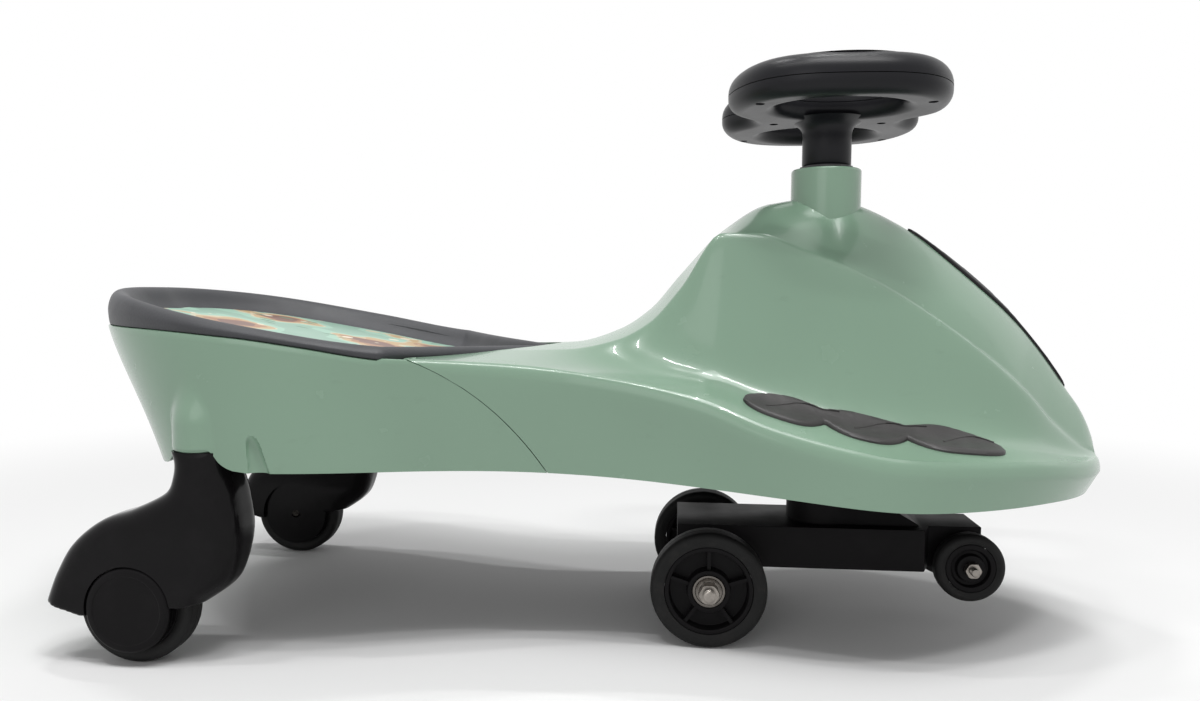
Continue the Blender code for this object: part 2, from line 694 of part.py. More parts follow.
def make_front_shell():
    """The hood, leg scoops and foot rests, open below, with the collar round the column."""
    rows = []
    rear_end = SEAT_TURN_X - SHELL_OVERLAP
    places = [x for x in outline_places(FRONT_MID_STATIONS) if x > rear_end]
    spine_rear = places[0]
    spine_front = NOSE_X - HOOD_SPINE_SETBACK
    for x in places:
        share = (x - spine_rear) / (NOSE_X - spine_rear)
        spine_x = mix(spine_rear, spine_front, share)
        shoulder_x, shoulder_y = wall_point(x, 0.35 * SHOULDER_ROUNDING)
        ridge_share = min(RIDGE_HALF_WIDTH, 0.48 * half_width(x)) / max(half_width(x), 1e-6)
        crown = [0.0, 0.40, 0.78, 1.0]
        scoop = [0.06, 0.15, 0.30, 0.52, 0.78, 1.0]
        shares = [ridge_share * s for s in crown] + [mix(ridge_share, 1.0, s) for s in scoop]
        row = []
        for s in shares:
            px, py = mix(spine_x, shoulder_x, s), shoulder_y * s
            row.append((px, py, top_height(px, py)))
        foot = side_foot(x)
        edge_z = SHOULDER(x)
        wide_z = edge_z - SHOULDER_ROUNDING
        widest = wall_point(x, 0.0)
        near_edge = wall_point(x, 0.10 * SHOULDER_ROUNDING)
        row.append((*near_edge, edge_z - 0.35 * SHOULDER_ROUNDING))
        row.append((*widest, wide_z))
        row.append(foot)
        rows.append(row)
    shell = new_object("front_shell", mirrored_sheet(rows))
    thicken(shell)
    cut(shell, seat_prism("seat_opening", SKIN_GAP), seam_block("front_seam", 1))
    column = (COLUMN_X, 0, 0)
    low = COLLAR_TOP - COLLAR_DEPTH
    fuse(shell, rod("collar", COLLAR_RADIUS, low, COLLAR_TOP, centre=column))
    ends = (low - CUTTER_REACH, COLLAR_TOP + CUTTER_REACH)
    cut(shell, rod("collar_bore", BUSH_SEAT, *ends, centre=column))
    add_boss(shell, FRONT_SCREW_X, SHOULDER(FRONT_SCREW_X) - SHOULDER_ROUNDING)
    return shell


def thicken(shell):
    """Give a sheet its wall, on the inner side."""
    wall = shell.modifiers.new("Wall", "SOLIDIFY")
    wall.thickness = WALL
    wall.offset = -1
    wall.use_even_offset = True
    wall.use_quality_normals = True
    wall.thickness_clamp = 0.8
    settle(shell)


def seam_points():
    """The joint between the two shells, seen from the side, from its top to its bottom."""
    top = Vector((SEAT_TURN_X + SEAM_TOP_LEAD, SHOULDER(SEAT_TURN_X) + 0.5 * WALL))
    foot = Vector((WAIST_X - SEAM_FOOT_SETBACK, LOWER_EDGE(WAIST_X) - WALL))
    knee = Vector((mix(top.x, foot.x, 0.58), mix(top.y, foot.y, 0.24)))
    curve = []
    for k in range(9):
        t = k / 8
        curve.append(top * (1 - t) ** 2 + knee * 2 * t * (1 - t) + foot * t**2)
    return curve


def seam_block(name, side):
    """A block that removes what lies behind the seam (side 1) or ahead of it (side -1)."""
    gap = side * SKIN_GAP / 2
    line = [(point.x + gap, point.y) for point in seam_points()]
    high = 1.3 * HOOD_HEIGHT
    line = [(line[0][0], high)] + line + [(line[-1][0] + WALL, 0.0)]
    far = (TAIL_X if side > 0 else NOSE_X) * 1.5
    outline = line + [(far, 0.0), (far, high)]
    reach = max(REAR_HALF_WIDTH, FRONT_HALF_WIDTH) * 1.5
    return prism(name, outline, -reach, reach, axis="Y")


def seat_places(count_tail=TAIL_STATIONS, count_side=9, count_front=8):
    """Places along the seat from its tail to its round front."""
    tail = [
        mix(REAR_WIDE_X, TAIL_X, math.cos(math.pi / 2 * k / count_tail))
        for k in range(count_tail)
    ]
    side = [mix(REAR_WIDE_X, SEAT_TURN_X, k / count_side) for k in range(count_side)]
    front = [
        mix(SEAT_TURN_X, SEAT_FRONT_X, math.sin(math.pi / 2 * k / count_front))
        for k in range(count_front + 1)
    ]
    return tail + side + front


def seat_prism(name, clearance):
    """An upright block over the seat's plan outline, widened by a clearance."""
    half = [(x, seat_half_width(x)) for x in seat_places()]
    outline = half + [(x, -y) for x, y in half[-2:0:-1]]
    grown = grow_outline(outline, clearance)
    return prism(name, grown, 0.8 * RIM_FOOT_FRONT, 1.15 * HOOD_HEIGHT)


def grow_outline(outline, distance):
    """A closed outline moved outwards by a distance."""
    count = len(outline)
    pairs = zip(outline, outline[1:] + outline[:1])
    turn = 1 if sum(a[0] * b[1] - b[0] * a[1] for a, b in pairs) > 0 else -1
    grown = []
    for k in range(count):
        before, here, after = (Vector(outline[(k + d) % count]) for d in (-1, 0, 1))
        first = (here - before).normalized()
        second = (after - here).normalized()
        along = (first + second).normalized()
        outward = Vector((along.y, -along.x)) * turn
        spread = max(math.sqrt(max((1 + first.dot(second)) / 2, 0.0)), 0.5)
        grown.append(tuple(here + outward * distance / spread))
    return grown


def boss_place(x):
    """The plan place of a screw boss that stands against the side wall."""
    return wall_point(x, WALL + SIDE_DRAFT + 0.85 * BOSS_RADIUS)


def pan_underside(x, y):
    """Height of the belly pans' lower face."""
    return lower_edge_height(x, y) + PAN_LIFT


def add_boss(shell, x, top):
    """A screw boss on each side, from just over the belly pan up the side wall."""
    place_x, place_y = boss_place(x)
    bottom = pan_underside(place_x, place_y) + PAN_THICKNESS + 2 * SEAT_GAP
    hole = SCREW_SHANK_RADIUS + SEAT_GAP
    ends = (bottom - CUTTER_REACH, bottom + SCREW_LENGTH)
    for side in (1, -1):
        centre = (place_x, side * place_y, 0)
        fuse(shell, rod("boss", BOSS_RADIUS, bottom, top, SMALL_SEGMENTS, centre=centre))
        cut(shell, rod("pilot", hole, *ends, SMALL_SEGMENTS, centre=centre))


def seat_station(x):
    """A station across the seat: its edge, its point on the middle line, and how far apart they are."""
    edge = wall_point(x, 0.0, seat_half_width)
    if x in (TAIL_X, SEAT_FRONT_X):
        edge = (x, 0.0)
    middle = mix(SEAT_FRONT_X, TAIL_X, 0.5)
    spine_x = middle + SEAT_SPINE_SHARE * (x - middle)
    return edge, spine_x, math.hypot(edge[0] - spine_x, edge[1])


def seat_inward(x, distance):
    """A point in plan at a distance from the seat's edge, on the way to its middle line."""
    edge, spine_x, run = seat_station(x)
    share = min(distance / run, 1.0)
    return mix(edge[0], spine_x, share), mix(edge[1], 0.0, share)


def make_rear_shell():
    """The side walls behind the seam, the tail, the seat ledge and the caster sockets."""
    rows = []
    places = [x for x in outline_places(REAR_MID_STATIONS) if x < WAIST_X + 0.03]
    for x in places:
        foot = side_foot(x)
        top_z = RIM_FOOT(x) if x < SEAT_TURN_X else SHOULDER(x)
        ledge_x, ledge_y = seat_inward(min(x, SEAT_TURN_X), LEDGE_WIDTH)
        top = (*wall_point(x, 0.0), top_z)
        row = [(ledge_x, ledge_y, RIM_FOOT(ledge_x)), top]
        for share in (0.20, 0.55):
            slack = share**1.25
            across = (mix(top[0], foot[0], slack), mix(top[1], foot[1], slack))
            row.append((*across, mix(top[2], foot[2], share)))
        row.append(foot)
        rows.append(row)
    last_ledge = max(i for i, x in enumerate(places) if x < SEAT_TURN_X)
    shell = new_object("rear_shell", mirrored_sheet(rows, keep=lambda i, j: j > 0 or i < last_ledge))
    thicken(shell)
    cut(shell, seam_block("rear_seam", -1))
    tongue_places = seat_places(count_side=12)
    start = max(i for i, x in enumerate(tongue_places) if x < SEAT_TURN_X - 0.012)
    tongue = []
    for x in tongue_places[start:]:
        outer_x, outer_y = seat_inward(x, WALL / 2)
        inner_x, inner_y = seat_inward(x, ledge_width(x))
        tongue.append([
            (inner_x, inner_y, RIM_FOOT(inner_x) - 0.0004),
            (outer_x, outer_y, RIM_FOOT(outer_x) - 0.0004),
        ])
    ring = new_object("tongue", mirrored_sheet(tongue))
    thicken(ring)
    fuse(shell, ring)
    for side in (1, -1):
        centre = (CASTER_X, side * CASTER_TRACK_HALF, 0)
        low = LOWER_EDGE_REAR - KEEL_DROP
        arch_top = SOCKET_BOTTOM - SEAT_GAP / 3
        flare = [
            (0, low),
            (SOCKET_CLEARANCE, low),
            (SOCKET_CLEARANCE * 0.85, LOWER_EDGE_REAR),
            (1.275 * SOCKET_RADIUS, mix(LOWER_EDGE_REAR, SOCKET_BOTTOM, 0.6)),
            (1.05 * SOCKET_RADIUS, arch_top),
            (0, arch_top),
        ]
        cut(shell, turned("socket_arch", flare, centre=centre))
        top = socket_top()
        waist = SOCKET_RADIUS - SOCKET_TAPER
        socket = [
            (0, SOCKET_BOTTOM),
            (SOCKET_RADIUS, SOCKET_BOTTOM),
            (SOCKET_RADIUS, mix(SOCKET_BOTTOM, top, 0.45)),
            (waist, mix(SOCKET_BOTTOM, top, 0.65)),
            (waist, top),
            (0, top),
        ]
        fuse(shell, turned("socket", socket, centre=centre))
        bore = KINGPIN_RADIUS + RUNNING_GAP + KINGPIN_BUSH_WALL + SEAT_GAP
        ends = (SOCKET_BOTTOM - CUTTER_REACH, top + CUTTER_REACH)
        cut(shell, rod("socket_bore", bore, *ends, 12, centre=centre))
    boss_top = mix(lower_edge_height(*boss_place(REAR_SCREW_X)), RIM_FOOT(REAR_SCREW_X), 0.45)
    add_boss(shell, REAR_SCREW_X, boss_top)
    return shell


def pan_rows(low_x, high_x):
    """Points of a belly pan's upper face, from its middle line to its edge, station by station."""
    between = [x for x in outline_places(PAN_MID_STATIONS) if low_x + 0.006 < x < high_x - 0.006]
    places = [low_x] + between + [high_x]
    rows = []
    for x in places:
        foot_x, foot_y, _ = side_foot(x)
        normal = plan_normal(half_width, x)
        edge_x = foot_x - (WALL + PAN_CLEARANCE) * normal.x
        edge_y = max(foot_y - (WALL + PAN_CLEARANCE) * normal.y, 0.0)
        if x in (TAIL_X, NOSE_X):
            edge_y = 0.0
        row = []
        for share in (0.0, 0.35, 0.7, 1.0):
            across = edge_y * share
            row.append((edge_x, across, pan_underside(edge_x, across) + PAN_THICKNESS))
        rows.append(row)
    return rows


def make_pan(name, low_x, high_x):
    """A belly pan that closes the body from below, inside its side walls."""
    pan = new_object(name, mirrored_sheet(pan_rows(low_x, high_x)))
    solid = pan.modifiers.new("Thickness", "SOLIDIFY")
    solid.thickness = PAN_THICKNESS
    solid.offset = -1
    settle(pan)
    return pan


def drill_pan(pan, place):
    """The clearance holes for a pan's screws, one on each side."""
    x, y = boss_place(place)
    z = pan_underside(x, y)
    for side in (1, -1):
        centre = (x, side * y, z)
        hole = SCREW_SHANK_RADIUS + SEAT_GAP
        cut(pan, rod("hole", hole, -CUTTER_REACH, CUTTER_REACH, 6, centre=centre))
    return pan


def make_front_pan():
    """The front pan, with the tube that holds the lower column bush."""
    pan = make_pan("front_belly_pan", PAN_SPLIT_X + SKIN_GAP / 2, NOSE_X)
    column = (COLUMN_X, 0, 0)
    low = hub_top() + FLANGE_THICKNESS + 2 * SEAT_GAP
    high = low + BUSH_LENGTH
    fuse(pan, rod("column_tube", 0.88 * COLLAR_RADIUS, low, high, 16, centre=column))
    ends = (low - CUTTER_REACH, high + CUTTER_REACH)
    cut(pan, rod("column_bore", BUSH_SEAT, *ends, centre=column))
    return drill_pan(pan, FRONT_SCREW_X)


def make_rear_pan():
    """The rear pan, notched round the caster sockets."""
    pan = make_pan("rear_belly_pan", TAIL_X, PAN_SPLIT_X - SKIN_GAP / 2)
    for side in (1, -1):
        centre = (CASTER_X, side * CASTER_TRACK_HALF, 0)
        low, high = LOWER_EDGE_REAR - 2 * KEEL_DROP, LOWER_EDGE_REAR + 2 * KEEL_DROP
        cut(pan, rod("notch", SOCKET_CLEARANCE + 0.001, low, high, 16, centre=centre))
    return drill_pan(pan, REAR_SCREW_X)


def hub_top():
    """Height of the truck's hub, which carries the body through the lower bush's flange."""
    return LOWER_EDGE(COLUMN_X) - 0.0035


def screw_profile(head_radius, head_height, shank_radius, length):
    """A pan-headed screw seen from its axis, head down, its head's seat at height zero."""
    return [
        (0, -head_height),
        (head_radius * 0.8, -head_height),
        (head_radius, 0),
        (shank_radius, 0),
        (shank_radius, length),
        (0, length),
    ]


def make_body_screw(name, place, side):
    """A screw that holds a pan to its shell."""
    x, y = boss_place(place)
    profile = screw_profile(SCREW_HEAD_RADIUS, 0.0022, SCREW_SHANK_RADIUS, SCREW_LENGTH)
    return turned(name, profile, 6, centre=(x, side * y, pan_underside(x, y) - 2 * SEAT_GAP))


def make_seat_rim():
    """The seat tray: a rounded rim that falls to a sunk floor."""
    rows = []
    for x in seat_places():
        _, spine_x, _ = seat_station(x)
        width, ledge = rim_width(x), ledge_width(x)
        rise = RIM_CREST(x) - RIM_FOOT(x)

        def placed(distance, height, x=x):
            px, py = seat_inward(x, distance)
            return px, py, height(px)

        rows.append([
            (spine_x, 0.0, basin_floor(spine_x)),
            placed(width, basin_floor),
            placed(width * 0.62, lambda px: RIM_CREST(px) - 0.42 * BASIN_DEPTH),
            placed(width * 0.30, RIM_CREST),
            placed(width * 0.13, lambda px, rise=rise: RIM_CREST(px) - 0.12 * rise),
            placed(0.0, lambda px, rise=rise: RIM_FOOT(px) + 0.45 * rise),
            placed(0.0006, lambda px: RIM_FOOT(px) + 2 * SEAT_GAP),
            placed(ledge + 0.0020, lambda px: RIM_FOOT(px) + 2 * SEAT_GAP),
            placed(ledge + 0.0040, lambda px: min(basin_floor(px) - TRAY_WALL, RIM_FOOT(px) - 0.001)),
            (spine_x, 0.0, basin_floor(spine_x) - TRAY_WALL),
        ])
    return new_object("seat_rim", closed(mirrored_sheet(rows)))


def make_seat_panel():
    """The inset panel on the tray's floor."""
    rows = []
    low = 2 * SEAT_GAP
    for x in seat_places(count_tail=7, count_side=5, count_front=6):
        edge, spine_x, run = seat_station(x)
        share = min((rim_width(x) + 0.0015) / run, 0.95)
        rim = (mix(edge[0], spine_x, share), mix(edge[1], 0.0, share))
        rows.append([
            (spine_x, 0.0, basin_floor(spine_x) + low + PANEL_THICKNESS),
            (*rim, basin_floor(rim[0]) + low + PANEL_THICKNESS),
            (*rim, basin_floor(rim[0]) + low),
            (spine_x, 0.0, basin_floor(spine_x) + low),
        ])
    return new_object("seat_panel", closed(mirrored_sheet(rows)))


def skin_plate(name, shell, rows, thickness):
    """A thin plate that lies on the front shell, from rows of plan points."""
    surface = bmesh.new()
    surface.from_mesh(shell.data)
    faces = BVHTree.FromBMesh(surface)
    surface.free()

    def skin(x, y, lift):
        place, normal, *_ = faces.ray_cast(Vector((x, y, COLLAR_TOP + 0.1)), Vector((0, 0, -1)))
        return x, y, place.z + lift / max(normal.z, 0.35)

    bm = bmesh.new()
    layers = []
    for lift in (SKIN_GAP + thickness, SKIN_GAP):
        layers.append([[bm.verts.new(skin(x, y, lift)) for x, y in row] for row in rows])
    upper, lower = layers
    last_i, last_j = len(rows) - 1, len(rows[0]) - 1
    for i in range(last_i):
        for j in range(last_j):
            bm.faces.new([upper[i][j], upper[i + 1][j], upper[i + 1][j + 1], upper[i][j + 1]])
            bm.faces.new([lower[i][j + 1], lower[i + 1][j + 1], lower[i + 1][j], lower[i][j]])
    border = [(i, 0) for i in range(last_i)] + [(last_i, j) for j in range(last_j)]
    border += [(i, last_j) for i in range(last_i, 0, -1)] + [(0, j) for j in range(last_j, 0, -1)]
    for k, (i, j) in enumerate(border):
        a, b = border[(k + 1) % len(border)]
        bm.faces.new([upper[i][j], upper[a][b], lower[a][b], lower[i][j]])
    return new_object(name, closed(bm))


def make_foot_pad(name, shell, side):
    """A wavy foot rest, three lobes long."""
    rows = []
    count = 5 * PAD_LOBES
    for k in range(count + 1):
        t = k / count
        x = mix(PAD_REAR_X, PAD_FRONT_X, t)
        end = math.sqrt(max(1 - abs(2 * t - 1) ** 4, 0.0))
        wave = math.cos(2 * math.pi * PAD_LOBES * t)
        half = max((PAD_HALF_WIDTH - PAD_WAVE * wave) * end, 0.0015)
        reach = mix(half_width(x), FRONT_HALF_WIDTH, 0.5)
        middle = PAD_CENTRE_SHARE * reach + 0.3 * PAD_WAVE * wave
        rows.append([(x, side * (middle + half * s)) for s in (-1, -0.33, 0.33, 1)])
    return skin_plate(name, shell, rows, PAD_THICKNESS)


def make_nose_trim(shell):
    """The dark strip down the middle of the hood."""
    rows = []
    count = 13
    for k in range(count + 1):
        t = k / count
        x = mix(TRIM_REAR_X, TRIM_FRONT_X, t)
        half = TRIM_HALF_WIDTH * max(math.sin(math.pi * min(t * 1.15 + 0.08, 0.93)), 0.1)
        rows.append([(x, half * s) for s in (-1, -0.5, 0, 0.5, 1)])
    return skin_plate("nose_trim", shell, rows, TRIM_THICKNESS)


def make_column_bush(name, seat, direction):
    """A flanged bush for the column; direction 1 points its tube up, -1 down."""
    inner = COLUMN_RADIUS + RUNNING_GAP
    flange = seat - direction * FLANGE_THICKNESS
    tip = seat + direction * (BUSH_LENGTH - 0.002)
    profile = [
        (inner, flange),
        (BUSH_FLANGE, flange),
        (BUSH_FLANGE, seat),
        (BUSH_OUTER, seat),
        (BUSH_OUTER, tip),
        (inner, tip),
    ]
    return turned(name, profile, centre=(COLUMN_X, 0, 0))


def make_caster_bush(name, side):
    """The flanged bush in a caster socket."""
    inner = KINGPIN_RADIUS + RUNNING_GAP
    outer = inner + KINGPIN_BUSH_WALL
    seat = SOCKET_BOTTOM - SEAT_GAP
    top = socket_top() - SOCKET_HEADROOM
    profile = [
        (inner, seat - FLANGE_THICKNESS),
        (outer + KINGPIN_BUSH_FLANGE, seat - FLANGE_THICKNESS),
        (outer + KINGPIN_BUSH_FLANGE, seat),
        (outer, seat),
        (outer, top),
        (inner, top),
    ]
    return turned(name, profile, 12, centre=(CASTER_X, side * CASTER_TRACK_HALF, 0))


def wheel_outline(count=28):
    """The steering wheel's plan outline: two lobes with a notch fore and aft."""
    outline = []
    for k in range(count):
        angle = 2 * math.pi * k / count
        c, s = math.cos(angle), math.sin(angle)
        x = WHEEL_HALF_LENGTH * math.copysign(abs(c) ** (2 / WHEEL_SQUARENESS), c)
        y = WHEEL_HALF_WIDTH * math.copysign(abs(s) ** (2 / WHEEL_SQUARENESS), s)
        outline.append((x * (1 - WHEEL_NOTCH * math.exp(-((y / WHEEL_NOTCH_WIDTH) ** 2))), y))
    return outline


def grip_outline(side, grow=0.0, count=14):
    """The oval hand hole in one lobe, widened by an amount."""
    centre = side * GRIP_CENTRE
    length, width = GRIP_HALF_LENGTH + grow, GRIP_HALF_WIDTH + grow
    angles = [2 * math.pi * k / count for k in range(count)]
    return [(length * math.cos(angle), centre + width * math.sin(angle)) for angle in angles]


def wheel_half(name, parting, face):
    """Half of the steering wheel, from its parting plane to its rounded outer face."""
    bm = bmesh.new()
    loops = [wheel_outline(), grip_outline(1), grip_outline(-1)]
    edges = []
    for loop in loops:
        verts = [bm.verts.new((x, y, parting)) for x, y in loop]
        edges += [bm.edges.new(pair) for pair in zip(verts, verts[1:] + verts[:1])]
    bmesh.ops.triangle_fill(bm, edges=edges, use_beauty=True)
    made = bmesh.ops.extrude_face_region(bm, geom=list(bm.faces))
    moved = [item for item in made["geom"] if isinstance(item, bmesh.types.BMVert)]
    bmesh.ops.translate(bm, vec=(0, 0, face - parting), verts=moved)
    bmesh.ops.recalc_face_normals(bm, faces=bm.faces)
    rim = []
    for edge in bm.edges:
        level = all(abs(vert.co.z - face) < 1e-6 for vert in edge.verts)
        if level and len(edge.link_faces) == 2 and edge.calc_face_angle() > 1.0:
            rim.append(edge)
    bmesh.ops.bevel(bm, geom=rim, offset=WHEEL_ROUNDING, segments=2, profile=0.5, affect="EDGES")
    return new_object(name, closed(bm))


def wheel_screw_places():
    """Where the six screws stand in the wheel, from its centre, by name."""
    lobe_x = LOBE_SCREW_SHARES[0] * WHEEL_HALF_LENGTH
    lobe_y = LOBE_SCREW_SHARES[1] * WHEEL_HALF_WIDTH
    middle_x = MIDDLE_SCREW_SHARE * WHEEL_HALF_LENGTH
    return {
        "front_left": (lobe_x, lobe_y),
        "front_right": (lobe_x, -lobe_y),
        "front_middle": (middle_x, 0.0),
        "rear_left": (-lobe_x, lobe_y),
        "rear_right": (-lobe_x, -lobe_y),
        "rear_middle": (-middle_x, 0.0),
    }


def make_wheel_bottom():
    """The lower half of the steering wheel, with its sleeve over the column."""
    half = wheel_half("steering_wheel_bottom", WHEEL_PARTING - SEAT_GAP / 2, WHEEL_UNDERSIDE)
    sleeve = [
        (0, SLEEVE_BOTTOM),
        (SLEEVE_RADIUS, SLEEVE_BOTTOM),
        (SLEEVE_RADIUS, WHEEL_UNDERSIDE - 0.90 * SLEEVE_FLARE),
        (SLEEVE_RADIUS + 0.27 * SLEEVE_FLARE, WHEEL_UNDERSIDE - 0.27 * SLEEVE_FLARE),
        (SLEEVE_RADIUS + SLEEVE_FLARE, WHEEL_UNDERSIDE + 0.18 * SLEEVE_FLARE),
        (0, WHEEL_UNDERSIDE + 0.36 * SLEEVE_FLARE),
    ]
    fuse(half, turned("sleeve", sleeve))
    seat = COLUMN_RADIUS + SEAT_GAP
    ends = (SLEEVE_BOTTOM - CUTTER_REACH, column_top() + SEAT_GAP)
    cut(half, rod("column_seat", seat, *ends, 16))
    cut(half, cross_rod("pin_hole", PIN_RADIUS + SEAT_GAP, 1.7 * SLEEVE_RADIUS, upper_pin_height()))
    recess_radius = WHEEL_SCREW_RADIUS + SEAT_GAP
    shank_radius = WHEEL_SCREW_SHANK + SEAT_GAP
    recess_top = WHEEL_UNDERSIDE + WHEEL_SCREW_RECESS
    for x, y in wheel_screw_places().values():
        recess = [
            (0, WHEEL_UNDERSIDE - CUTTER_REACH),
            (recess_radius, WHEEL_UNDERSIDE - CUTTER_REACH),
            (recess_radius, recess_top),
            (shank_radius, recess_top),
            (shank_radius, WHEEL_PARTING + CUTTER_REACH),
            (0, WHEEL_PARTING + CUTTER_REACH),
        ]
        cut(half, turned("screw_recess", recess, 6, centre=(x, y, 0)))
    return half


def make_wheel_top():
    """The upper half of the steering wheel."""
    half = wheel_half("steering_wheel_top", WHEEL_PARTING + SEAT_GAP / 2, WHEEL_TOP)
    radius = WHEEL_SCREW_SHANK + SEAT_GAP
    ends = (WHEEL_PARTING - CUTTER_REACH, mix(WHEEL_PARTING, WHEEL_TOP, 0.48))
    for x, y in wheel_screw_places().values():
        cut(half, rod("pilot", radius, *ends, 6, centre=(x, y, 0)))
    return half


def make_wheel_screw(name, place):
    """A screw that joins the wheel's halves from below."""
    length = 1.17 * WHEEL_LOWER_DEPTH
    head = 0.5 * WHEEL_SCREW_RECESS
    profile = screw_profile(WHEEL_SCREW_RADIUS, head, WHEEL_SCREW_SHANK, length)
    seat = WHEEL_UNDERSIDE + WHEEL_SCREW_RECESS - SEAT_GAP
    return turned(name, profile, 6, centre=(*place, seat))


def column_top():
    """Height of the column's upper end, inside the wheel."""
    return mix(WHEEL_UNDERSIDE, WHEEL_PARTING, 0.48)


def column_bottom():
    """Height of the column's lower end, inside the truck's hub."""
    return TRUCK_TOP + 0.004


def upper_pin_height():
    """Height of the cross pin that holds the wheel to the column."""
    return mix(SLEEVE_BOTTOM, WHEEL_UNDERSIDE, 0.55)


def lower_pin_height():
    """Height of the cross pin that holds the truck to the column."""
    return mix(TRUCK_TOP, hub_top(), 0.58)


def cross_rod(name, radius, reach, height):
    """A round bar that runs fore and aft through the column's axis."""
    return rod(name, radius, -reach, reach, SMALL_SEGMENTS, "X", (0, 0, height))


def make_column():
    """The steel tube that joins the steering wheel to the truck."""
    ends = (column_bottom(), column_top())
    column = tube("steering_column", COLUMN_RADIUS, COLUMN_BORE, *ends, 16)
    for height in (upper_pin_height(), lower_pin_height()):
        cut(column, cross_rod("pin_hole", PIN_RADIUS + SEAT_GAP, 3 * COLUMN_RADIUS, height))
    return column


def truck_plan(shrink=0.0):
    """Half plan outlines joined: the wide rear part, and the narrow arms to the rollers."""
    rear = -TRUCK_REAR_REACH + shrink
    front = TRUCK_FRONT_REACH - 0.3 * shrink
    wide = TRUCK_HALF_WIDTH - shrink
    narrow = TRUCK_ARM_HALF_WIDTH - shrink
    tip = TRUCK_ARM_REACH - shrink
    right = [(rear, -wide), (front, -wide), (front + TRUCK_TAPER, -narrow), (tip, -narrow)]
    return right + [(x, -y) for x, y in right[::-1]]


def make_truck():
    """The truck: an upturned channel with the column's hub on top and bosses for both axles."""
    truck = prism("truck_body", truck_plan(), TRUCK_SKIRT, TRUCK_TOP)
    ends = (TRUCK_SKIRT - CUTTER_REACH, TRUCK_TOP - TRUCK_WALL)
    cut(truck, prism("channel", truck_plan(TRUCK_WALL), *ends))
    axle_x = -FRONT_AXLE_TRAIL
    lug_half = AXLE_BOSS_RADIUS * 0.97
    lug_low = FRONT_WHEEL_RADIUS
    axle_place = (axle_x, 0, FRONT_WHEEL_RADIUS)
    roller_place = (ROLLER_LEAD, 0, ROLLER_HEIGHT)
    reach = FRONT_TRACK_HALF - FRONT_WHEEL_WIDTH / 2 - RUNNING_GAP
    parts = [rod("axle_boss", AXLE_BOSS_RADIUS, -reach, reach, 14, "Y", axle_place)]
    lug_reach = TRUCK_HALF_WIDTH - 0.15 * TRUCK_WALL
    lug_top = TRUCK_TOP - 0.3 * TRUCK_WALL
    low_corner = (axle_x - lug_half, -lug_reach, lug_low)
    parts.append(box("lug", low_corner, (axle_x + lug_half, lug_reach, lug_top)))
    roller_reach = ROLLER_TRACK_HALF - ROLLER_WIDTH / 2 - RUNNING_GAP
    ends = (-roller_reach, roller_reach)
    parts.append(rod("roller_boss", ROLLER_BOSS_RADIUS, *ends, 12, "Y", roller_place))
    parts.append(rod("hub", HUB_RADIUS, TRUCK_TOP - 2 * TRUCK_WALL, hub_top(), 20))
    web = [
        (0.0, TRUCK_TOP - 0.6 * TRUCK_WALL),
        (TRUCK_FRONT_REACH, TRUCK_TOP - 0.6 * TRUCK_WALL),
        (TRUCK_FRONT_REACH - 0.6 * TRUCK_WALL, TRUCK_TOP + 0.4 * TRUCK_WALL),
        (HUB_RADIUS, mix(TRUCK_TOP, hub_top(), 0.80)),
        (0.0, mix(TRUCK_TOP, hub_top(), 0.95)),
    ]
    parts.append(prism("web", web, -WEB_HALF_WIDTH, WEB_HALF_WIDTH, axis="Y"))
    fuse(truck, *parts)
    across = (-FRONT_TRACK_HALF, FRONT_TRACK_HALF)
    upright = (column_bottom() - SEAT_GAP, hub_top() + CUTTER_REACH)
    cut(
        truck,
        rod("front_axle_hole", AXLE_RADIUS + SEAT_GAP, *across, 10, "Y", axle_place),
        rod("roller_axle_hole", ROLLER_AXLE_RADIUS + SEAT_GAP, *across, 10, "Y", roller_place),
        rod("column_socket", COLUMN_RADIUS + SEAT_GAP, *upright, 16),
        cross_rod("pin_hole", PIN_RADIUS + SEAT_GAP, 3.5 * HUB_RADIUS, lower_pin_height()),
    )
    return truck


def make_axle(name, radius, half_length, x, z):
    """A threaded bar through the truck."""
    chamfer = radius * 0.25
    profile = [
        (0, -half_length),
        (radius - chamfer, -half_length),
        (radius, chamfer - half_length),
        (radius, half_length - chamfer),
        (radius - chamfer, half_length),
        (0, half_length),
    ]
    return turned(name, profile, 10, "Y", (x, 0, z))


def make_nut(name, side, radius, bore, thickness, inner_face, x, z):
    """A hexagon nut on one end of an axle."""
    low, high = sorted((side * inner_face, side * (inner_face + thickness)))
    nut = rod(name, radius, low, high, 6, "Y", (x, 0, z))
    return cut(nut, rod("thread", bore + SEAT_GAP, low - 0.01, high + 0.01, 10, "Y", (x, 0, z)))


def tyre_profile(outer, inner, width, rounding):
    """A tyre's section, round at both shoulders."""
    half = width / 2
    return [
        (inner, 0.001 - half),
        (outer - rounding, -half),
        (outer, rounding - half),
        (outer, half - rounding),
        (outer - rounding, half),
        (inner, half - 0.001),
    ]


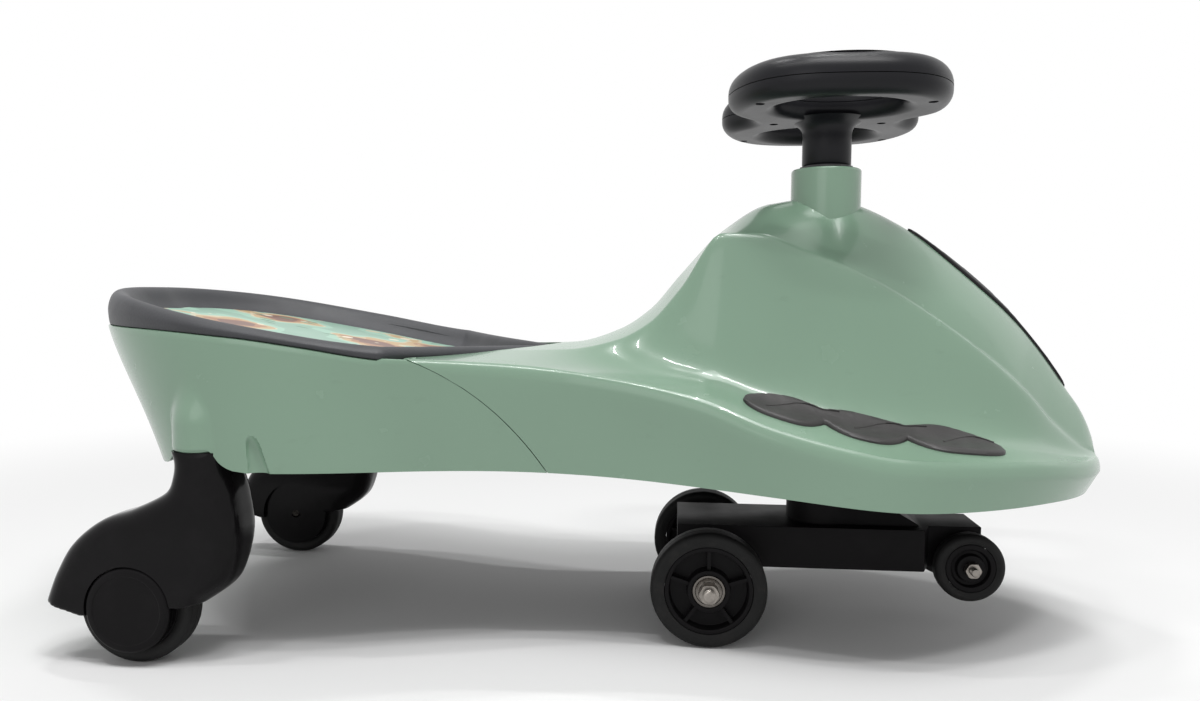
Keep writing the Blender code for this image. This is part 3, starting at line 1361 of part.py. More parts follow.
def make_front_rim(name):
    """A front wheel's rim: a deep recess on each side crossed by spokes round the bearing hub."""
    half = FRONT_WHEEL_WIDTH / 2
    outer = FRONT_RIM_RADIUS - SEAT_GAP
    web = 0.0015
    profile = [
        (BEARING_RADIUS + SEAT_GAP, -half),
        (FRONT_HUB_RADIUS, -half),
        (FRONT_HUB_RADIUS, -web),
        (FRONT_RECESS_RADIUS, -web),
        (FRONT_RECESS_RADIUS, 0.001 - half),
        (outer, 0.001 - half),
        (outer, half - 0.001),
        (FRONT_RECESS_RADIUS, half - 0.001),
        (FRONT_RECESS_RADIUS, web),
        (FRONT_HUB_RADIUS, web),
        (FRONT_HUB_RADIUS, half),
        (BEARING_RADIUS + SEAT_GAP, half),
    ]
    rim = turned(name, profile, 18, "Y")
    spokes = []
    for k in range(SPOKE_COUNT):
        spoke = box(
            "spoke",
            (-SPOKE_THICKNESS / 2, -half + 0.0025, FRONT_HUB_RADIUS - 0.001),
            (SPOKE_THICKNESS / 2, half - 0.0025, FRONT_RECESS_RADIUS + 0.001),
        )
        spoke.data.transform(Matrix.Rotation(2 * math.pi * k / SPOKE_COUNT, 4, "Y"))
        spokes.append(spoke)
    return fuse(rim, *spokes)


def make_roller_core(name, outer, bore, width, web_half):
    """A roller's core: a disc with a rim and a hub."""
    half = width / 2
    flange = outer - 0.004
    profile = [
        (bore, -half),
        (flange - 0.004, -half),
        (flange, -web_half),
        (outer, 0.001 - half),
        (outer, half - 0.001),
        (flange, web_half),
        (flange - 0.004, half),
        (bore, half),
    ]
    return turned(name, profile, 14, "Y")


def make_bearing(name, side):
    """One of a front wheel's two ball bearings, on its outer (side 1) or inner (side -1) face."""
    half = FRONT_WHEEL_WIDTH / 2
    low, high = sorted((side * half, side * (half - BEARING_WIDTH)))
    return tube(name, BEARING_RADIUS, AXLE_RADIUS + SEAT_GAP, low, high, 12, "Y")


def stem_top():
    """Height of the caster stems' upper ends, just under the socket bushes."""
    return SOCKET_BOTTOM - FLANGE_THICKNESS - 3 * SEAT_GAP


def hood_side():
    """The caster hood's side outline, from its kingpin axis.

    The cover's points are in wheel radii from the axle. The neck's are its half width, and shares
    of the height from the axle to the neck.
    """
    axle_z = CASTER_WHEEL_RADIUS
    neck_z = stem_top() - HOOD_NECK_DROP
    neck = HOOD_NECK_SHARE * STEM_RADIUS
    cover = [(-0.84, -0.13), (-1.49, 0.14), (-1.29, 0.60), (-1.00, 1.06), (-0.53, 1.46)]
    back = [(-0.97 * CASTER_TRAIL, 0.675), (-1.15 * STEM_RADIUS, 0.78), (-1.2 * neck, 0.88)]
    front = [(1.15 * neck, 0.88), (1.20 * STEM_RADIUS, 0.78), (1.25 * STEM_RADIUS, 0.50)]
    foot = [(0.85 * STEM_RADIUS, 0.23), (0.0, 0.06)]
    outline = [(a * axle_z - CASTER_TRAIL, axle_z + b * axle_z) for a, b in cover]
    upper = back + [(-neck, 1.0), (neck, 1.0)] + front + foot
    return outline + [(x, mix(axle_z, neck_z, share)) for x, share in upper]


def make_hood(name):
    """A caster's hood: a stem for the kingpin and a cover over the wheel, with two axle lugs."""
    hood = prism(name, hood_side(), -HOOD_HALF_WIDTH, HOOD_HALF_WIDTH, axis="Y")
    bevel = hood.modifiers.new("Rounding", "BEVEL")
    bevel.width = HOOD_ROUNDING
    bevel.segments = 1
    bevel.limit_method = "ANGLE"
    bevel.angle_limit = math.radians(60)
    settle(hood)
    split_large_faces(hood)
    axle = (-CASTER_TRAIL, 0, CASTER_WHEEL_RADIUS)
    fuse(hood, rod("stem", STEM_RADIUS, kingpin_bottom() - HOOD_NECK_DROP, stem_top(), 16))
    half = hood_gap()
    arch = CASTER_WHEEL_RADIUS + WHEEL_ARCH_GAP
    cut(hood, rod("wheel_well", arch, -half, half, 20, "Y", axle))
    cheek = half + HOOD_CHEEK
    for sign in (1, -1):
        ends = sorted((sign * cheek, sign * (HOOD_HALF_WIDTH + CUTTER_REACH)))
        cut(hood, rod("side_recess", LUG_RADIUS + LUG_CLEARANCE, *ends, 16, "Y", axle))
        ends = sorted((sign * half, sign * (cheek + 0.5 * RUNNING_GAP)))
        fuse(hood, rod("lug", LUG_RADIUS, *ends, 16, "Y", axle))
    across = (-1.5 * HOOD_HALF_WIDTH, 1.5 * HOOD_HALF_WIDTH)
    upright = (kingpin_bottom() - SEAT_GAP, stem_top() + CUTTER_REACH)
    cut(
        hood,
        rod("axle_hole", CASTER_AXLE_RADIUS + SEAT_GAP, *across, 10, "Y", axle),
        rod("kingpin_hole", KINGPIN_RADIUS + SEAT_GAP, *upright, 10),
    )
    return hood


def hood_gap():
    """Half of the gap between a caster hood's cheeks, which the wheel turns in."""
    return CASTER_WHEEL_WIDTH / 2 + WHEEL_SIDE_GAP


def kingpin_bottom():
    """Height of the kingpin's lower end, inside the hood."""
    return SOCKET_BOTTOM - KINGPIN_REACH


def make_kingpin(name):
    """The headed steel pin that a caster swivels on; its head rests over the socket."""
    seat = socket_top() + SEAT_GAP
    head = KINGPIN_RADIUS + KINGPIN_HEAD_MARGIN
    profile = [
        (0, kingpin_bottom()),
        (KINGPIN_RADIUS, kingpin_bottom()),
        (KINGPIN_RADIUS, seat),
        (head, seat),
        (head, seat + KINGPIN_HEAD),
        (0, seat + KINGPIN_HEAD),
    ]
    return turned(name, profile, 10)


def make_cap(name, side):
    """The round cap over a caster's axle, on the outer side."""
    low = hood_gap() + HOOD_CHEEK + 2 * SEAT_GAP
    high = low + CAP_THICKNESS
    radius = LUG_RADIUS - 0.0005
    profile = [
        (0, low),
        (radius - 0.001, low),
        (radius, low + 0.001),
        (radius, high - 0.0015),
        (radius - 0.0015, high),
        (0, high),
    ]
    cap = turned(name, profile, 20, "Y")
    if side < 0:
        cap.data.transform(Matrix.Rotation(math.pi, 4, "Z"))
    return cap


def make_tyre(name, outer, inner, width, rounding, segments):
    """A tyre about its own axle."""
    return turned(name, tyre_profile(outer, inner, width, rounding), segments, "Y")


def clear_scene():
    """Remove whatever the file held."""
    for obj in list(bpy.data.objects):
        bpy.data.objects.remove(obj)


def build_body():
    """The fixed body: shells, pans, seat, trim and bushes."""
    paint = material("body_paint", (0.40, 0.53, 0.42), 0.25, coat=0.4)
    pan_plastic = material("pan_plastic", (0.03, 0.03, 0.032), 0.6)
    rim_plastic = material("rim_plastic", (0.045, 0.045, 0.05), 0.75)
    panel = material("panel", (0.45, 0.62, 0.52), 0.4)
    pad_plastic = material("pad_plastic", (0.05, 0.045, 0.045), 0.45)
    trim_plastic = material("trim_plastic", (0.02, 0.02, 0.02), 0.15)
    bush_nylon = material("bush_nylon", (0.03, 0.03, 0.03), 0.5)
    steel = material("screw_steel", (0.60, 0.60, 0.62), 0.35, metallic=1.0)
    front_shell = finish(make_front_shell(), None, paint)
    finish(make_rear_shell(), None, paint)
    finish(make_front_pan(), None, pan_plastic)
    finish(make_rear_pan(), None, pan_plastic)
    for name, side in (("left", 1), ("right", -1)):
        finish(make_body_screw(f"front_pan_screw_{name}", FRONT_SCREW_X, side), None, steel)
        finish(make_body_screw(f"rear_pan_screw_{name}", REAR_SCREW_X, side), None, steel)
    finish(make_seat_rim(), None, rim_plastic)
    finish(make_seat_panel(), None, panel)
    finish(make_foot_pad("foot_pad_left", front_shell, 1), None, pad_plastic)
    finish(make_foot_pad("foot_pad_right", front_shell, -1), None, pad_plastic)
    finish(make_nose_trim(front_shell), None, trim_plastic)
    finish(make_column_bush("column_bush_upper", COLLAR_TOP + SEAT_GAP, -1), None, bush_nylon)
    lower_seat = hub_top() + FLANGE_THICKNESS + SEAT_GAP
    finish(make_column_bush("column_bush_lower", lower_seat, 1), None, bush_nylon)
    for name, side in (("left", 1), ("right", -1)):
        finish(make_caster_bush(f"caster_bush_{name}", side), None, bush_nylon)


def build_steering():
    """All that turns with the steering column, with the wheels that ride on it."""
    wheel_plastic = material("wheel_plastic", (0.025, 0.025, 0.028), 0.35)
    truck_plastic = material("truck_plastic", (0.02, 0.02, 0.02), 0.6)
    rim_plastic = material("wheel_rim_plastic", (0.03, 0.03, 0.03), 0.5)
    rubber = material("tyre_rubber", (0.025, 0.025, 0.025), 0.7)
    steel = material("steel", (0.62, 0.62, 0.62), 0.3, metallic=1.0)
    axis = axis_point("steering_axis", (COLUMN_X, 0, 0))
    finish(make_wheel_top(), axis, wheel_plastic)
    finish(make_wheel_bottom(), axis, wheel_plastic)
    for name, place in wheel_screw_places().items():
        finish(make_wheel_screw(f"wheel_screw_{name}", place), axis, steel)
    finish(make_column(), axis, steel)
    upper_pin = (PIN_RADIUS, SLEEVE_RADIUS - 0.001, upper_pin_height())
    finish(cross_rod("column_pin_upper", *upper_pin), axis, steel)
    lower_pin = (PIN_RADIUS, HUB_RADIUS - 0.001, lower_pin_height())
    finish(cross_rod("column_pin_lower", *lower_pin), axis, steel)
    finish(make_truck(), axis, truck_plastic)
    front = (-FRONT_AXLE_TRAIL, FRONT_WHEEL_RADIUS)
    front_nut_face = FRONT_TRACK_HALF + FRONT_WHEEL_WIDTH / 2 + RUNNING_GAP
    front_nut = (NUT_RADIUS, AXLE_RADIUS, NUT_THICKNESS, front_nut_face, *front)
    reach = front_nut_face + NUT_THICKNESS + AXLE_OVERHANG
    finish(make_axle("front_axle", AXLE_RADIUS, reach, *front), axis, steel)
    roller = (ROLLER_LEAD, ROLLER_HEIGHT)
    roller_nut_face = ROLLER_TRACK_HALF + ROLLER_WIDTH / 2 + RUNNING_GAP
    sizes = (ROLLER_NUT_RADIUS, ROLLER_AXLE_RADIUS, ROLLER_NUT_THICKNESS)
    roller_nut = (*sizes, roller_nut_face, *roller)
    reach = roller_nut_face + ROLLER_NUT_THICKNESS + ROLLER_AXLE_OVERHANG
    finish(make_axle("roller_axle", ROLLER_AXLE_RADIUS, reach, *roller), axis, steel)
    for name, side in (("left", 1), ("right", -1)):
        finish(make_nut(f"front_axle_nut_{name}", side, *front_nut), axis, steel)
        finish(make_nut(f"roller_axle_nut_{name}", side, *roller_nut), axis, steel)
        place = (COLUMN_X - FRONT_AXLE_TRAIL, side * FRONT_TRACK_HALF, FRONT_WHEEL_RADIUS)
        hub = axis_point(f"front_wheel_{name}_axis", place, axis)
        finish(make_front_rim(f"front_wheel_{name}_rim"), hub, rim_plastic)
        tyre = (FRONT_WHEEL_RADIUS, FRONT_RIM_RADIUS, FRONT_WHEEL_WIDTH, 0.004, 24)
        finish(make_tyre(f"front_wheel_{name}_tyre", *tyre), hub, rubber)
        finish(make_bearing(f"front_wheel_{name}_bearing_outer", side), hub, steel)
        finish(make_bearing(f"front_wheel_{name}_bearing_inner", -side), hub, steel)
        place = (COLUMN_X + ROLLER_LEAD, side * ROLLER_TRACK_HALF, ROLLER_HEIGHT)
        hub = axis_point(f"roller_{name}_axis", place, axis)
        bore = ROLLER_AXLE_RADIUS + RUNNING_GAP
        core = (ROLLER_CORE_RADIUS - SEAT_GAP, bore, ROLLER_WIDTH, 0.003)
        finish(make_roller_core(f"roller_{name}_core", *core), hub, rim_plastic)
        tyre = (ROLLER_RADIUS, ROLLER_CORE_RADIUS, ROLLER_WIDTH, 0.003, 18)
        finish(make_tyre(f"roller_{name}_tyre", *tyre), hub, rubber)


def build_casters():
    """The two rear casters, each with its own wheel."""
    hood_plastic = material("hood_plastic", (0.02, 0.018, 0.018), 0.12)
    rim_plastic = material("caster_rim_plastic", (0.03, 0.03, 0.03), 0.5)
    rubber = material("caster_rubber", (0.025, 0.025, 0.025), 0.6)
    steel = material("pin_steel", (0.62, 0.62, 0.62), 0.3, metallic=1.0)
    for name, side in (("left", 1), ("right", -1)):
        pivot = axis_point(f"caster_{name}_axis", (CASTER_X, side * CASTER_TRACK_HALF, 0))
        finish(make_hood(f"caster_{name}_hood"), pivot, hood_plastic)
        finish(make_kingpin(f"caster_{name}_kingpin"), pivot, steel)
        place = (CASTER_X - CASTER_TRAIL, side * CASTER_TRACK_HALF, CASTER_WHEEL_RADIUS)
        hub = axis_point(f"caster_wheel_{name}_axis", place, pivot)
        cap = make_cap(f"caster_{name}_cap", side)
        cap.data.transform(Matrix.Translation((-CASTER_TRAIL, 0, CASTER_WHEEL_RADIUS)))
        finish(cap, pivot, hood_plastic)
        reach = hood_gap() + HOOD_CHEEK
        axle = (CASTER_AXLE_RADIUS, reach, -CASTER_TRAIL, CASTER_WHEEL_RADIUS)
        finish(make_axle(f"caster_{name}_axle", *axle), pivot, steel)
        bore = CASTER_AXLE_RADIUS + RUNNING_GAP
        half = CASTER_WHEEL_WIDTH / 2
        core = (CASTER_RIM_RADIUS - SEAT_GAP, bore, 0.001 - half, half - 0.001)
        finish(tube(f"caster_wheel_{name}_core", *core, 16, "Y"), hub, rim_plastic)
        tyre = (CASTER_WHEEL_RADIUS, CASTER_RIM_RADIUS, CASTER_WHEEL_WIDTH, 0.0035, 24)
        finish(make_tyre(f"caster_wheel_{name}_tyre", *tyre), hub, rubber)


def main():
    """Build the car."""
    clear_scene()
    build_body()
    build_steering()
    build_casters()


main()
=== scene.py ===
"""Looks for the child's swing car, laid out as a Blender add-on and run as a script."""

from math import copysign, cos, exp, hypot, pi, radians, sin, sqrt

import bmesh
import bpy
import numpy as np
from mathutils import Matrix, Vector
from mathutils.bvhtree import BVHTree


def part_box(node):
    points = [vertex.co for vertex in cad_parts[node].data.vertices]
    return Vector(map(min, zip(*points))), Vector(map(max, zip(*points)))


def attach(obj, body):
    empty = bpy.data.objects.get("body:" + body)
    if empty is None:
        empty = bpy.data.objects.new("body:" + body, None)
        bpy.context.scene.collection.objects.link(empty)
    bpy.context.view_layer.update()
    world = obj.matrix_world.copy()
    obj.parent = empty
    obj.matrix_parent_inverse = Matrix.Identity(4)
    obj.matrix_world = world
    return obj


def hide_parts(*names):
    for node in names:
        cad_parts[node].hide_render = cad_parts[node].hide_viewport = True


bl_info = {
    "name": "Swing Car Looks",
    "version": (1, 0, 0),
    "blender": (4, 5, 0),
    "location": "View3D > Sidebar > Swing Car",
    "description": "Smooth shells, wheels, trim and surfaces for a child's swing car",
    "category": "Object",
}

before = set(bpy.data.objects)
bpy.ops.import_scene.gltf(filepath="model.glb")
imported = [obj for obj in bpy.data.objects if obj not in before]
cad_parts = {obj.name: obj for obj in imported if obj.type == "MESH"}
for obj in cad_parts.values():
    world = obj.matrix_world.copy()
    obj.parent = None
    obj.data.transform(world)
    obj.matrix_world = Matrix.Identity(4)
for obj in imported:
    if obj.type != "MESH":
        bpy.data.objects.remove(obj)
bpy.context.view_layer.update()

# Places that come from the CAD nodes
TAIL_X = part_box("rear_shell")[0].x
NOSE_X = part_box("front_shell")[1].x
COLLAR_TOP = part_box("front_shell")[1].z
COLUMN_X = (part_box("steering_column")[0].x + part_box("steering_column")[1].x) / 2
WHEEL_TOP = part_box("steering_wheel_top")[1].z
WHEEL_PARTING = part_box("steering_wheel_top")[0].z
SLEEVE_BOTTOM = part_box("steering_wheel_bottom")[0].z

# Gaps and walls
SEAT_GAP = 0.0003
SKIN_GAP = 0.0007
WALL = 0.003
MOULD_ROUNDING = 0.0006

# Body in plan
REAR_WIDE_X, REAR_HALF_WIDTH = -0.217, 0.1435
WAIST_X, WAIST_HALF_WIDTH = -0.012, 0.103
FRONT_WIDE_X, FRONT_HALF_WIDTH = 0.196, 0.129
TAIL_ROUNDNESS, NOSE_ROUNDNESS = 2.1, 1.62

# Body heights
LOWER_EDGE_REAR, LOWER_EDGE_FRONT, LOWER_EDGE_NOSE = 0.129, 0.111, 0.105
KEEL_DROP, KEEL_HALF_WIDTH, KEEL_RUN = 0.025, 0.090, 1.168
TAIL_LEAN, SIDE_DRAFT, NOSE_TUCK = 0.048, 0.003, 0.006
NOSE_HEIGHT, NECK_HEIGHT, HOOD_HEIGHT = 0.129, 0.205, 0.3125
NECK_REAR_X, RIDGE_HALF_WIDTH = -0.047, 0.055
SCOOP_POWER, CROWN_POWER, FOOT_REST_SLOPE = 7.5, 1.3, 0.14
RIDGE_LIP = 0.34
CREASE_DEPTH, CREASE_LIP, CREASE_FADE = 0.0044, 0.0016, 0.014
CROWN_ROUNDING = 0.09
SEAM_TOP_LEAD, SEAM_FOOT_SETBACK = 0.009, 0.012

# Seat
SEAT_FRONT_X, SEAT_TURN_X = -0.0305, -0.129
RIM_FOOT_TAIL, RIM_FOOT_WIDE, RIM_FOOT_FRONT = 0.2195, 0.2135, 0.192
RIM_CREST_TAIL, RIM_CREST_WIDE, RIM_CREST_FRONT = 0.2465, 0.2215, 0.2025
BASIN_DEPTH, TRAY_WALL, PANEL_THICKNESS = 0.016, 0.003, 0.0015
SEAT_SPINE_SHARE, SEAT_FRONT_BULGE, SEAT_TIP_ROUNDNESS = 0.75, 1.06, 0.88
LEDGE_WIDTH, LEDGE_WIDTH_FRONT = 0.017, 0.009
RIM_WIDTH, RIM_WIDTH_FRONT = 0.030, 0.018

# Steering wheel
WHEEL_HALF_LENGTH, WHEEL_HALF_WIDTH, WHEEL_SQUARENESS = 0.0765, 0.1045, 2.9
WHEEL_NOTCH, WHEEL_NOTCH_WIDTH, WHEEL_UNDERSIDE = 0.27, 0.022, 0.3665
GRIP_CENTRE, GRIP_HALF_LENGTH, GRIP_HALF_WIDTH = 0.051, 0.041, 0.031
COLLAR_RADIUS, COLLAR_BORE, COLLAR_DEPTH = 0.025, 0.0147, 0.062
SLEEVE_RADIUS, SLEEVE_BORE, SLEEVE_FLARE = 0.0175, 0.0103, 0.011
WHEEL_SCREWS, PARTING_GAP = ((0.0551, 0.0705), (0.0551, -0.0705), (0.0385, 0.0)), 0.0001

# Casters
CASTER_X, CASTER_TRACK_HALF, CASTER_TRAIL = -0.245, 0.123, 0.047
CASTER_WHEEL_RADIUS, STEM_RADIUS = 0.038, 0.018
SOCKET_RADIUS, SOCKET_BOTTOM, SOCKET_TAPER, SOCKET_CLEARANCE = 0.020, 0.144, 0.006, 0.040
STEM_TOP = 0.1413
HOOD_HALF_WIDTH, HOOD_GAP, HOOD_CHEEK = 0.020, 0.0105, 0.003
SOCKET_BORE, SOCKET_SKIN, SOCKET_BLEND = 0.0087, 0.0006, 0.0035
HOOD_ROLL, HOOD_VOXEL, CUSHION_STEP, CAP_RECESS_RADIUS = 0.0125, 0.0012, 0.0016, 0.0287

# Screw scallops in the body's sides
SCALLOP_TOP, SCALLOP_DEPTH = 0.1525, 0.0038
SCALLOP_MIDDLE, SCALLOP_HALF_WIDTH = (-0.2062, -0.2020), (0.0038, 0.0066)

# Foot pads and nose trim
PAD_REAR_X, PAD_FRONT_X, PAD_LOBES, PAD_HALF_WIDTH = 0.0999, 0.266, 3, 0.0122
PAD_CENTRE_SHARE = 0.733
TRIM_REAR_X, TRIM_FRONT_X, TRIM_HALF_WIDTH = 0.224, 0.338, 0.0125

# Tyres: outer and inner radius. Axles: radius, start of the thread, pitch. Nuts: radius and bore
FRONT_TYRE, ROLLER_TYRE, CASTER_TYRE = (0.040, 0.0305), (0.0243, 0.0175), (0.038, 0.029)
FRONT_AXLE, ROLLER_AXLE = (0.004, 0.0725, 0.0011), (0.003, 0.0367, 0.0009)
FRONT_NUT, ROLLER_NUT = (0.0073, 0.0037), (0.0057, 0.0028)
BEARING_BORE, BEARING_RADIUS, BEARING_HALF_WIDTH = 0.0043, 0.0110, 0.0035
RIM_HALF_WIDTH, SPOKE_REACH = 0.010, (0.0140, 0.0272)

# Screw heads: radius and height
WHEEL_SCREW_HEAD, PAN_SCREW_HEAD, SCREW_RECESS_RADIUS = (0.0028, 0.0018), (0.0031, 0.0021), 0.0031

SIDES = (("left", 1), ("right", -1))


def length(name, description, default, low, high):
    """A length that the user may change."""
    return bpy.props.FloatProperty(
        name=name, description=description, default=default, min=low, max=high, unit="LENGTH",
    )


def count_of(name, description, default, low, high):
    """A whole number that the user may change."""
    return bpy.props.IntProperty(
        name=name, description=description, default=default, min=low, max=high,
    )


def tint(name, description, default):
    """A colour that the user may change."""
    return bpy.props.FloatVectorProperty(
        name=name, description=description, default=default, min=0, max=1, subtype="COLOR",
    )


class CarSizes(bpy.types.PropertyGroup):
    """Sizes of the details that the CAD model leaves plain."""

    shoulder_rounding: length(
        "Shoulder Rounding", "How far the body's top edge is rolled over into its side", 0.009, 0.002, 0.02)
    wheel_top_rounding: length(
        "Wheel Top Rounding", "Radius of the steering wheel's upper edges", 0.014, 0.004, 0.0148)
    wheel_under_rounding: length(
        "Wheel Underside Rounding", "Radius of the steering wheel's lower edges", 0.0095, 0.003, 0.011)
    pad_thickness: length(
        "Foot Pad Thickness", "Height of a foot pad over the foot rest", 0.0022, 0.001, 0.004)
    rib_radius: length(
        "Pad Rib Radius", "Radius of the thin ribs on the foot pads", 0.0006, 0.0003, 0.0015)
    trim_thickness: length(
        "Nose Trim Thickness", "Height of the dark strip over the hood", 0.0013, 0.0008, 0.004)
    spoke_count: count_of("Spoke Count", "Number of spokes in a front wheel", 5, 3, 9)
    spoke_thickness: length(
        "Spoke Thickness", "Thickness of a front wheel's spokes", 0.0024, 0.001, 0.005)
    tyre_rounding: length(
        "Tyre Shoulder Radius", "Radius of the tyres' shoulders", 0.0042, 0.001, 0.006)
    hood_blend: count_of(
        "Caster Hood Smoothing", "Smoothing passes that melt a caster hood's stem into its cover", 40, 0, 120)
    edge_softness: length(
        "Moulded Edge Radius", "Radius of the truck's moulded edges", 0.0009, 0.0002, 0.002)


class CarColours(bpy.types.PropertyGroup):
    """Colours of the car's materials."""

    body: tint("Body", "Sage green of the body shells", (0.200, 0.312, 0.226))
    tray: tint("Seat Tray", "Grained grey of the seat's rim", (0.040, 0.041, 0.046))
    panel: tint("Seat Panel", "Mint ground of the seat's inset", (0.33, 0.55, 0.43))
    pad: tint("Foot Pads", "Dark grey of the foot pads", (0.040, 0.038, 0.038))
    wheel: tint("Steering Wheel", "Charcoal of the steering wheel", (0.0085, 0.0085, 0.0105))
    black: tint("Black Plastic", "Black of the truck, wheels and hoods", (0.006, 0.0055, 0.006))
    steel: tint("Steel", "Steel of the axles, bearings and screws", (0.36, 0.33, 0.30))


def mix(start, end, share):
    """The value a share of the way from start to end."""
    return start + (end - start) * share


def ease(share):
    """A share from 0 to 1, eased at both ends."""
    share = min(max(share, 0.0), 1.0)
    return 0.5 - 0.5 * cos(pi * share)


def rail(points):
    """A smooth curve through (place, value) points that never swings past them."""
    places, values = np.array(points, dtype=float).T
    steps = np.diff(places)
    slopes = np.diff(values) / steps
    tangents = np.zeros(len(places))
    tangents[0], tangents[-1] = slopes[0], slopes[-1]
    for i in range(1, len(places) - 1):
        before, after = slopes[i - 1], slopes[i]
        if before * after > 0:
            far = 2 * steps[i] + steps[i - 1]
            near = steps[i] + 2 * steps[i - 1]
            tangents[i] = (far + near) / (far / before + near / after)

    def value(place):
        place = min(max(place, places[0]), places[-1])
        i = min(int(np.searchsorted(places, place, "right")) - 1, len(steps) - 1)
        t = (place - places[i]) / steps[i]
        bend = (2 * t**3 - 3 * t**2 + 1) * values[i] + (3 * t**2 - 2 * t**3) * values[i + 1]
        lean = (t**3 - 2 * t**2 + t) * tangents[i] + (t**3 - t**2) * tangents[i + 1]
        return float(bend + lean * steps[i])

    return value


def between(low, high):
    """A call that gives the value at a share of the way from low to high."""
    return lambda share: mix(low, high, share)


def stretch(place, value, *shares):
    """Points of one stretch of a rail, from pairs of shares of its run and of its height."""
    return [(place(run), value(height)) for run, height in shares]


neck_place, hood_place = between(NECK_REAR_X, COLUMN_X), between(COLUMN_X, NOSE_X)
neck_rise, hood_rise = between(NECK_HEIGHT, HOOD_HEIGHT), between(NOSE_HEIGHT, HOOD_HEIGHT)
foot_rest = between(NOSE_HEIGHT, NECK_HEIGHT)
lower_edge = between(LOWER_EDGE_REAR, LOWER_EDGE_FRONT)
rim_foot = between(RIM_FOOT_WIDE, RIM_FOOT_FRONT)

CROWN = rail([
    (NECK_REAR_X, NECK_HEIGHT - 0.001),
    *stretch(neck_place, neck_rise, (0.13, 0.005), (0.29, 0.10), (0.40, 0.245), (0.50, 0.475),
             (0.65, 0.785), (0.81, 0.965)),
    (COLUMN_X, HOOD_HEIGHT),
    *stretch(hood_place, hood_rise, (0.13, 0.967), (0.27, 0.896), (0.445, 0.766), (0.63, 0.594),
             (0.775, 0.418), (0.885, 0.254), (0.945, 0.160), (0.985, 0.063)),
    (NOSE_X, NOSE_HEIGHT),
])
RIDGE = rail([
    (NECK_REAR_X, NECK_HEIGHT - 0.003),
    (neck_place(0.13), NECK_HEIGHT - 0.002),
    *stretch(neck_place, neck_rise, (0.29, 0.045), (0.40, 0.160), (0.50, 0.380), (0.635, 0.735),
             (0.75, 0.733), (0.88, 0.652)),
    *stretch(hood_place, hood_rise, (0.11, 0.681), (0.34, 0.534), (0.535, 0.381), (0.67, 0.257),
             (0.78, 0.134), (0.90, 0.044)),
    (NOSE_X, NOSE_HEIGHT),
])
SHOULDER = rail([
    (SEAT_TURN_X, RIM_FOOT_FRONT + 0.009),
    (NECK_REAR_X, NECK_HEIGHT - 0.0095),
    (neck_place(0.26), NECK_HEIGHT - 0.016),
    *stretch(neck_place, foot_rest, (0.56, 0.618), (0.76, 0.408)),
    (COLUMN_X, foot_rest(0.243)),
    *stretch(hood_place, foot_rest, (0.13, 0.186), (0.42, 0.148), (0.62, 0.112), (0.82, 0.040)),
    (NOSE_X, NOSE_HEIGHT),
])
LOWER_EDGE = rail([
    (REAR_WIDE_X, LOWER_EDGE_REAR),
    (mix(REAR_WIDE_X, WAIST_X, 0.45), LOWER_EDGE_REAR - 0.0008),
    (WAIST_X, lower_edge(0.24)),
    (mix(WAIST_X, FRONT_WIDE_X, 0.65), lower_edge(0.74)),
    (FRONT_WIDE_X, LOWER_EDGE_FRONT),
    (mix(FRONT_WIDE_X, NOSE_X, 0.55), LOWER_EDGE_FRONT - 0.001),
    (NOSE_X, LOWER_EDGE_NOSE),
])
RIM_FOOT = rail([
    (TAIL_X, RIM_FOOT_TAIL),
    (mix(TAIL_X, REAR_WIDE_X, 0.5), RIM_FOOT_TAIL - 0.0012),
    (REAR_WIDE_X, RIM_FOOT_WIDE),
    (mix(REAR_WIDE_X, SEAT_TURN_X, 0.45), rim_foot(0.26)),
    (SEAT_TURN_X, rim_foot(0.65)),
    (SEAT_FRONT_X, RIM_FOOT_FRONT),
])
RIM_CREST = rail([
    (TAIL_X, RIM_CREST_TAIL),
    (mix(TAIL_X, REAR_WIDE_X, 0.28), RIM_CREST_TAIL - 0.006),
    (REAR_WIDE_X, RIM_CREST_WIDE),
    (SEAT_TURN_X, mix(RIM_CREST_WIDE, RIM_CREST_FRONT, 0.72)),
    (SEAT_FRONT_X, RIM_CREST_FRONT),
])


def basin_floor(x):
    """Height of the seat basin's floor."""
    return RIM_CREST(x) - BASIN_DEPTH


def half_width(x):
    """Half of the body's width in plan, at its widest height."""
    if x <= REAR_WIDE_X:
        t = min((REAR_WIDE_X - x) / (REAR_WIDE_X - TAIL_X), 1.0)
        return REAR_HALF_WIDTH * (1 - t**TAIL_ROUNDNESS) ** (1 / TAIL_ROUNDNESS)
    if x <= WAIST_X:
        share = ease((x - REAR_WIDE_X) / (WAIST_X - REAR_WIDE_X))
        return mix(REAR_HALF_WIDTH, WAIST_HALF_WIDTH, share)
    if x <= FRONT_WIDE_X:
        share = ease((x - WAIST_X) / (FRONT_WIDE_X - WAIST_X))
        return mix(WAIST_HALF_WIDTH, FRONT_HALF_WIDTH, share)
    t = min((x - FRONT_WIDE_X) / (NOSE_X - FRONT_WIDE_X), 1.0)
    return FRONT_HALF_WIDTH * (1 - t**NOSE_ROUNDNESS) ** (1 / NOSE_ROUNDNESS)


def seat_half_width(x):
    """Half of the seat's width in plan: the body's own, drawn in to a round front end."""
    t = (x - SEAT_TURN_X) / (SEAT_FRONT_X - SEAT_TURN_X)
    if t <= 0:
        return half_width(x)
    return half_width(x) * (1 - min(t, 1.0) ** SEAT_FRONT_BULGE) ** SEAT_TIP_ROUNDNESS


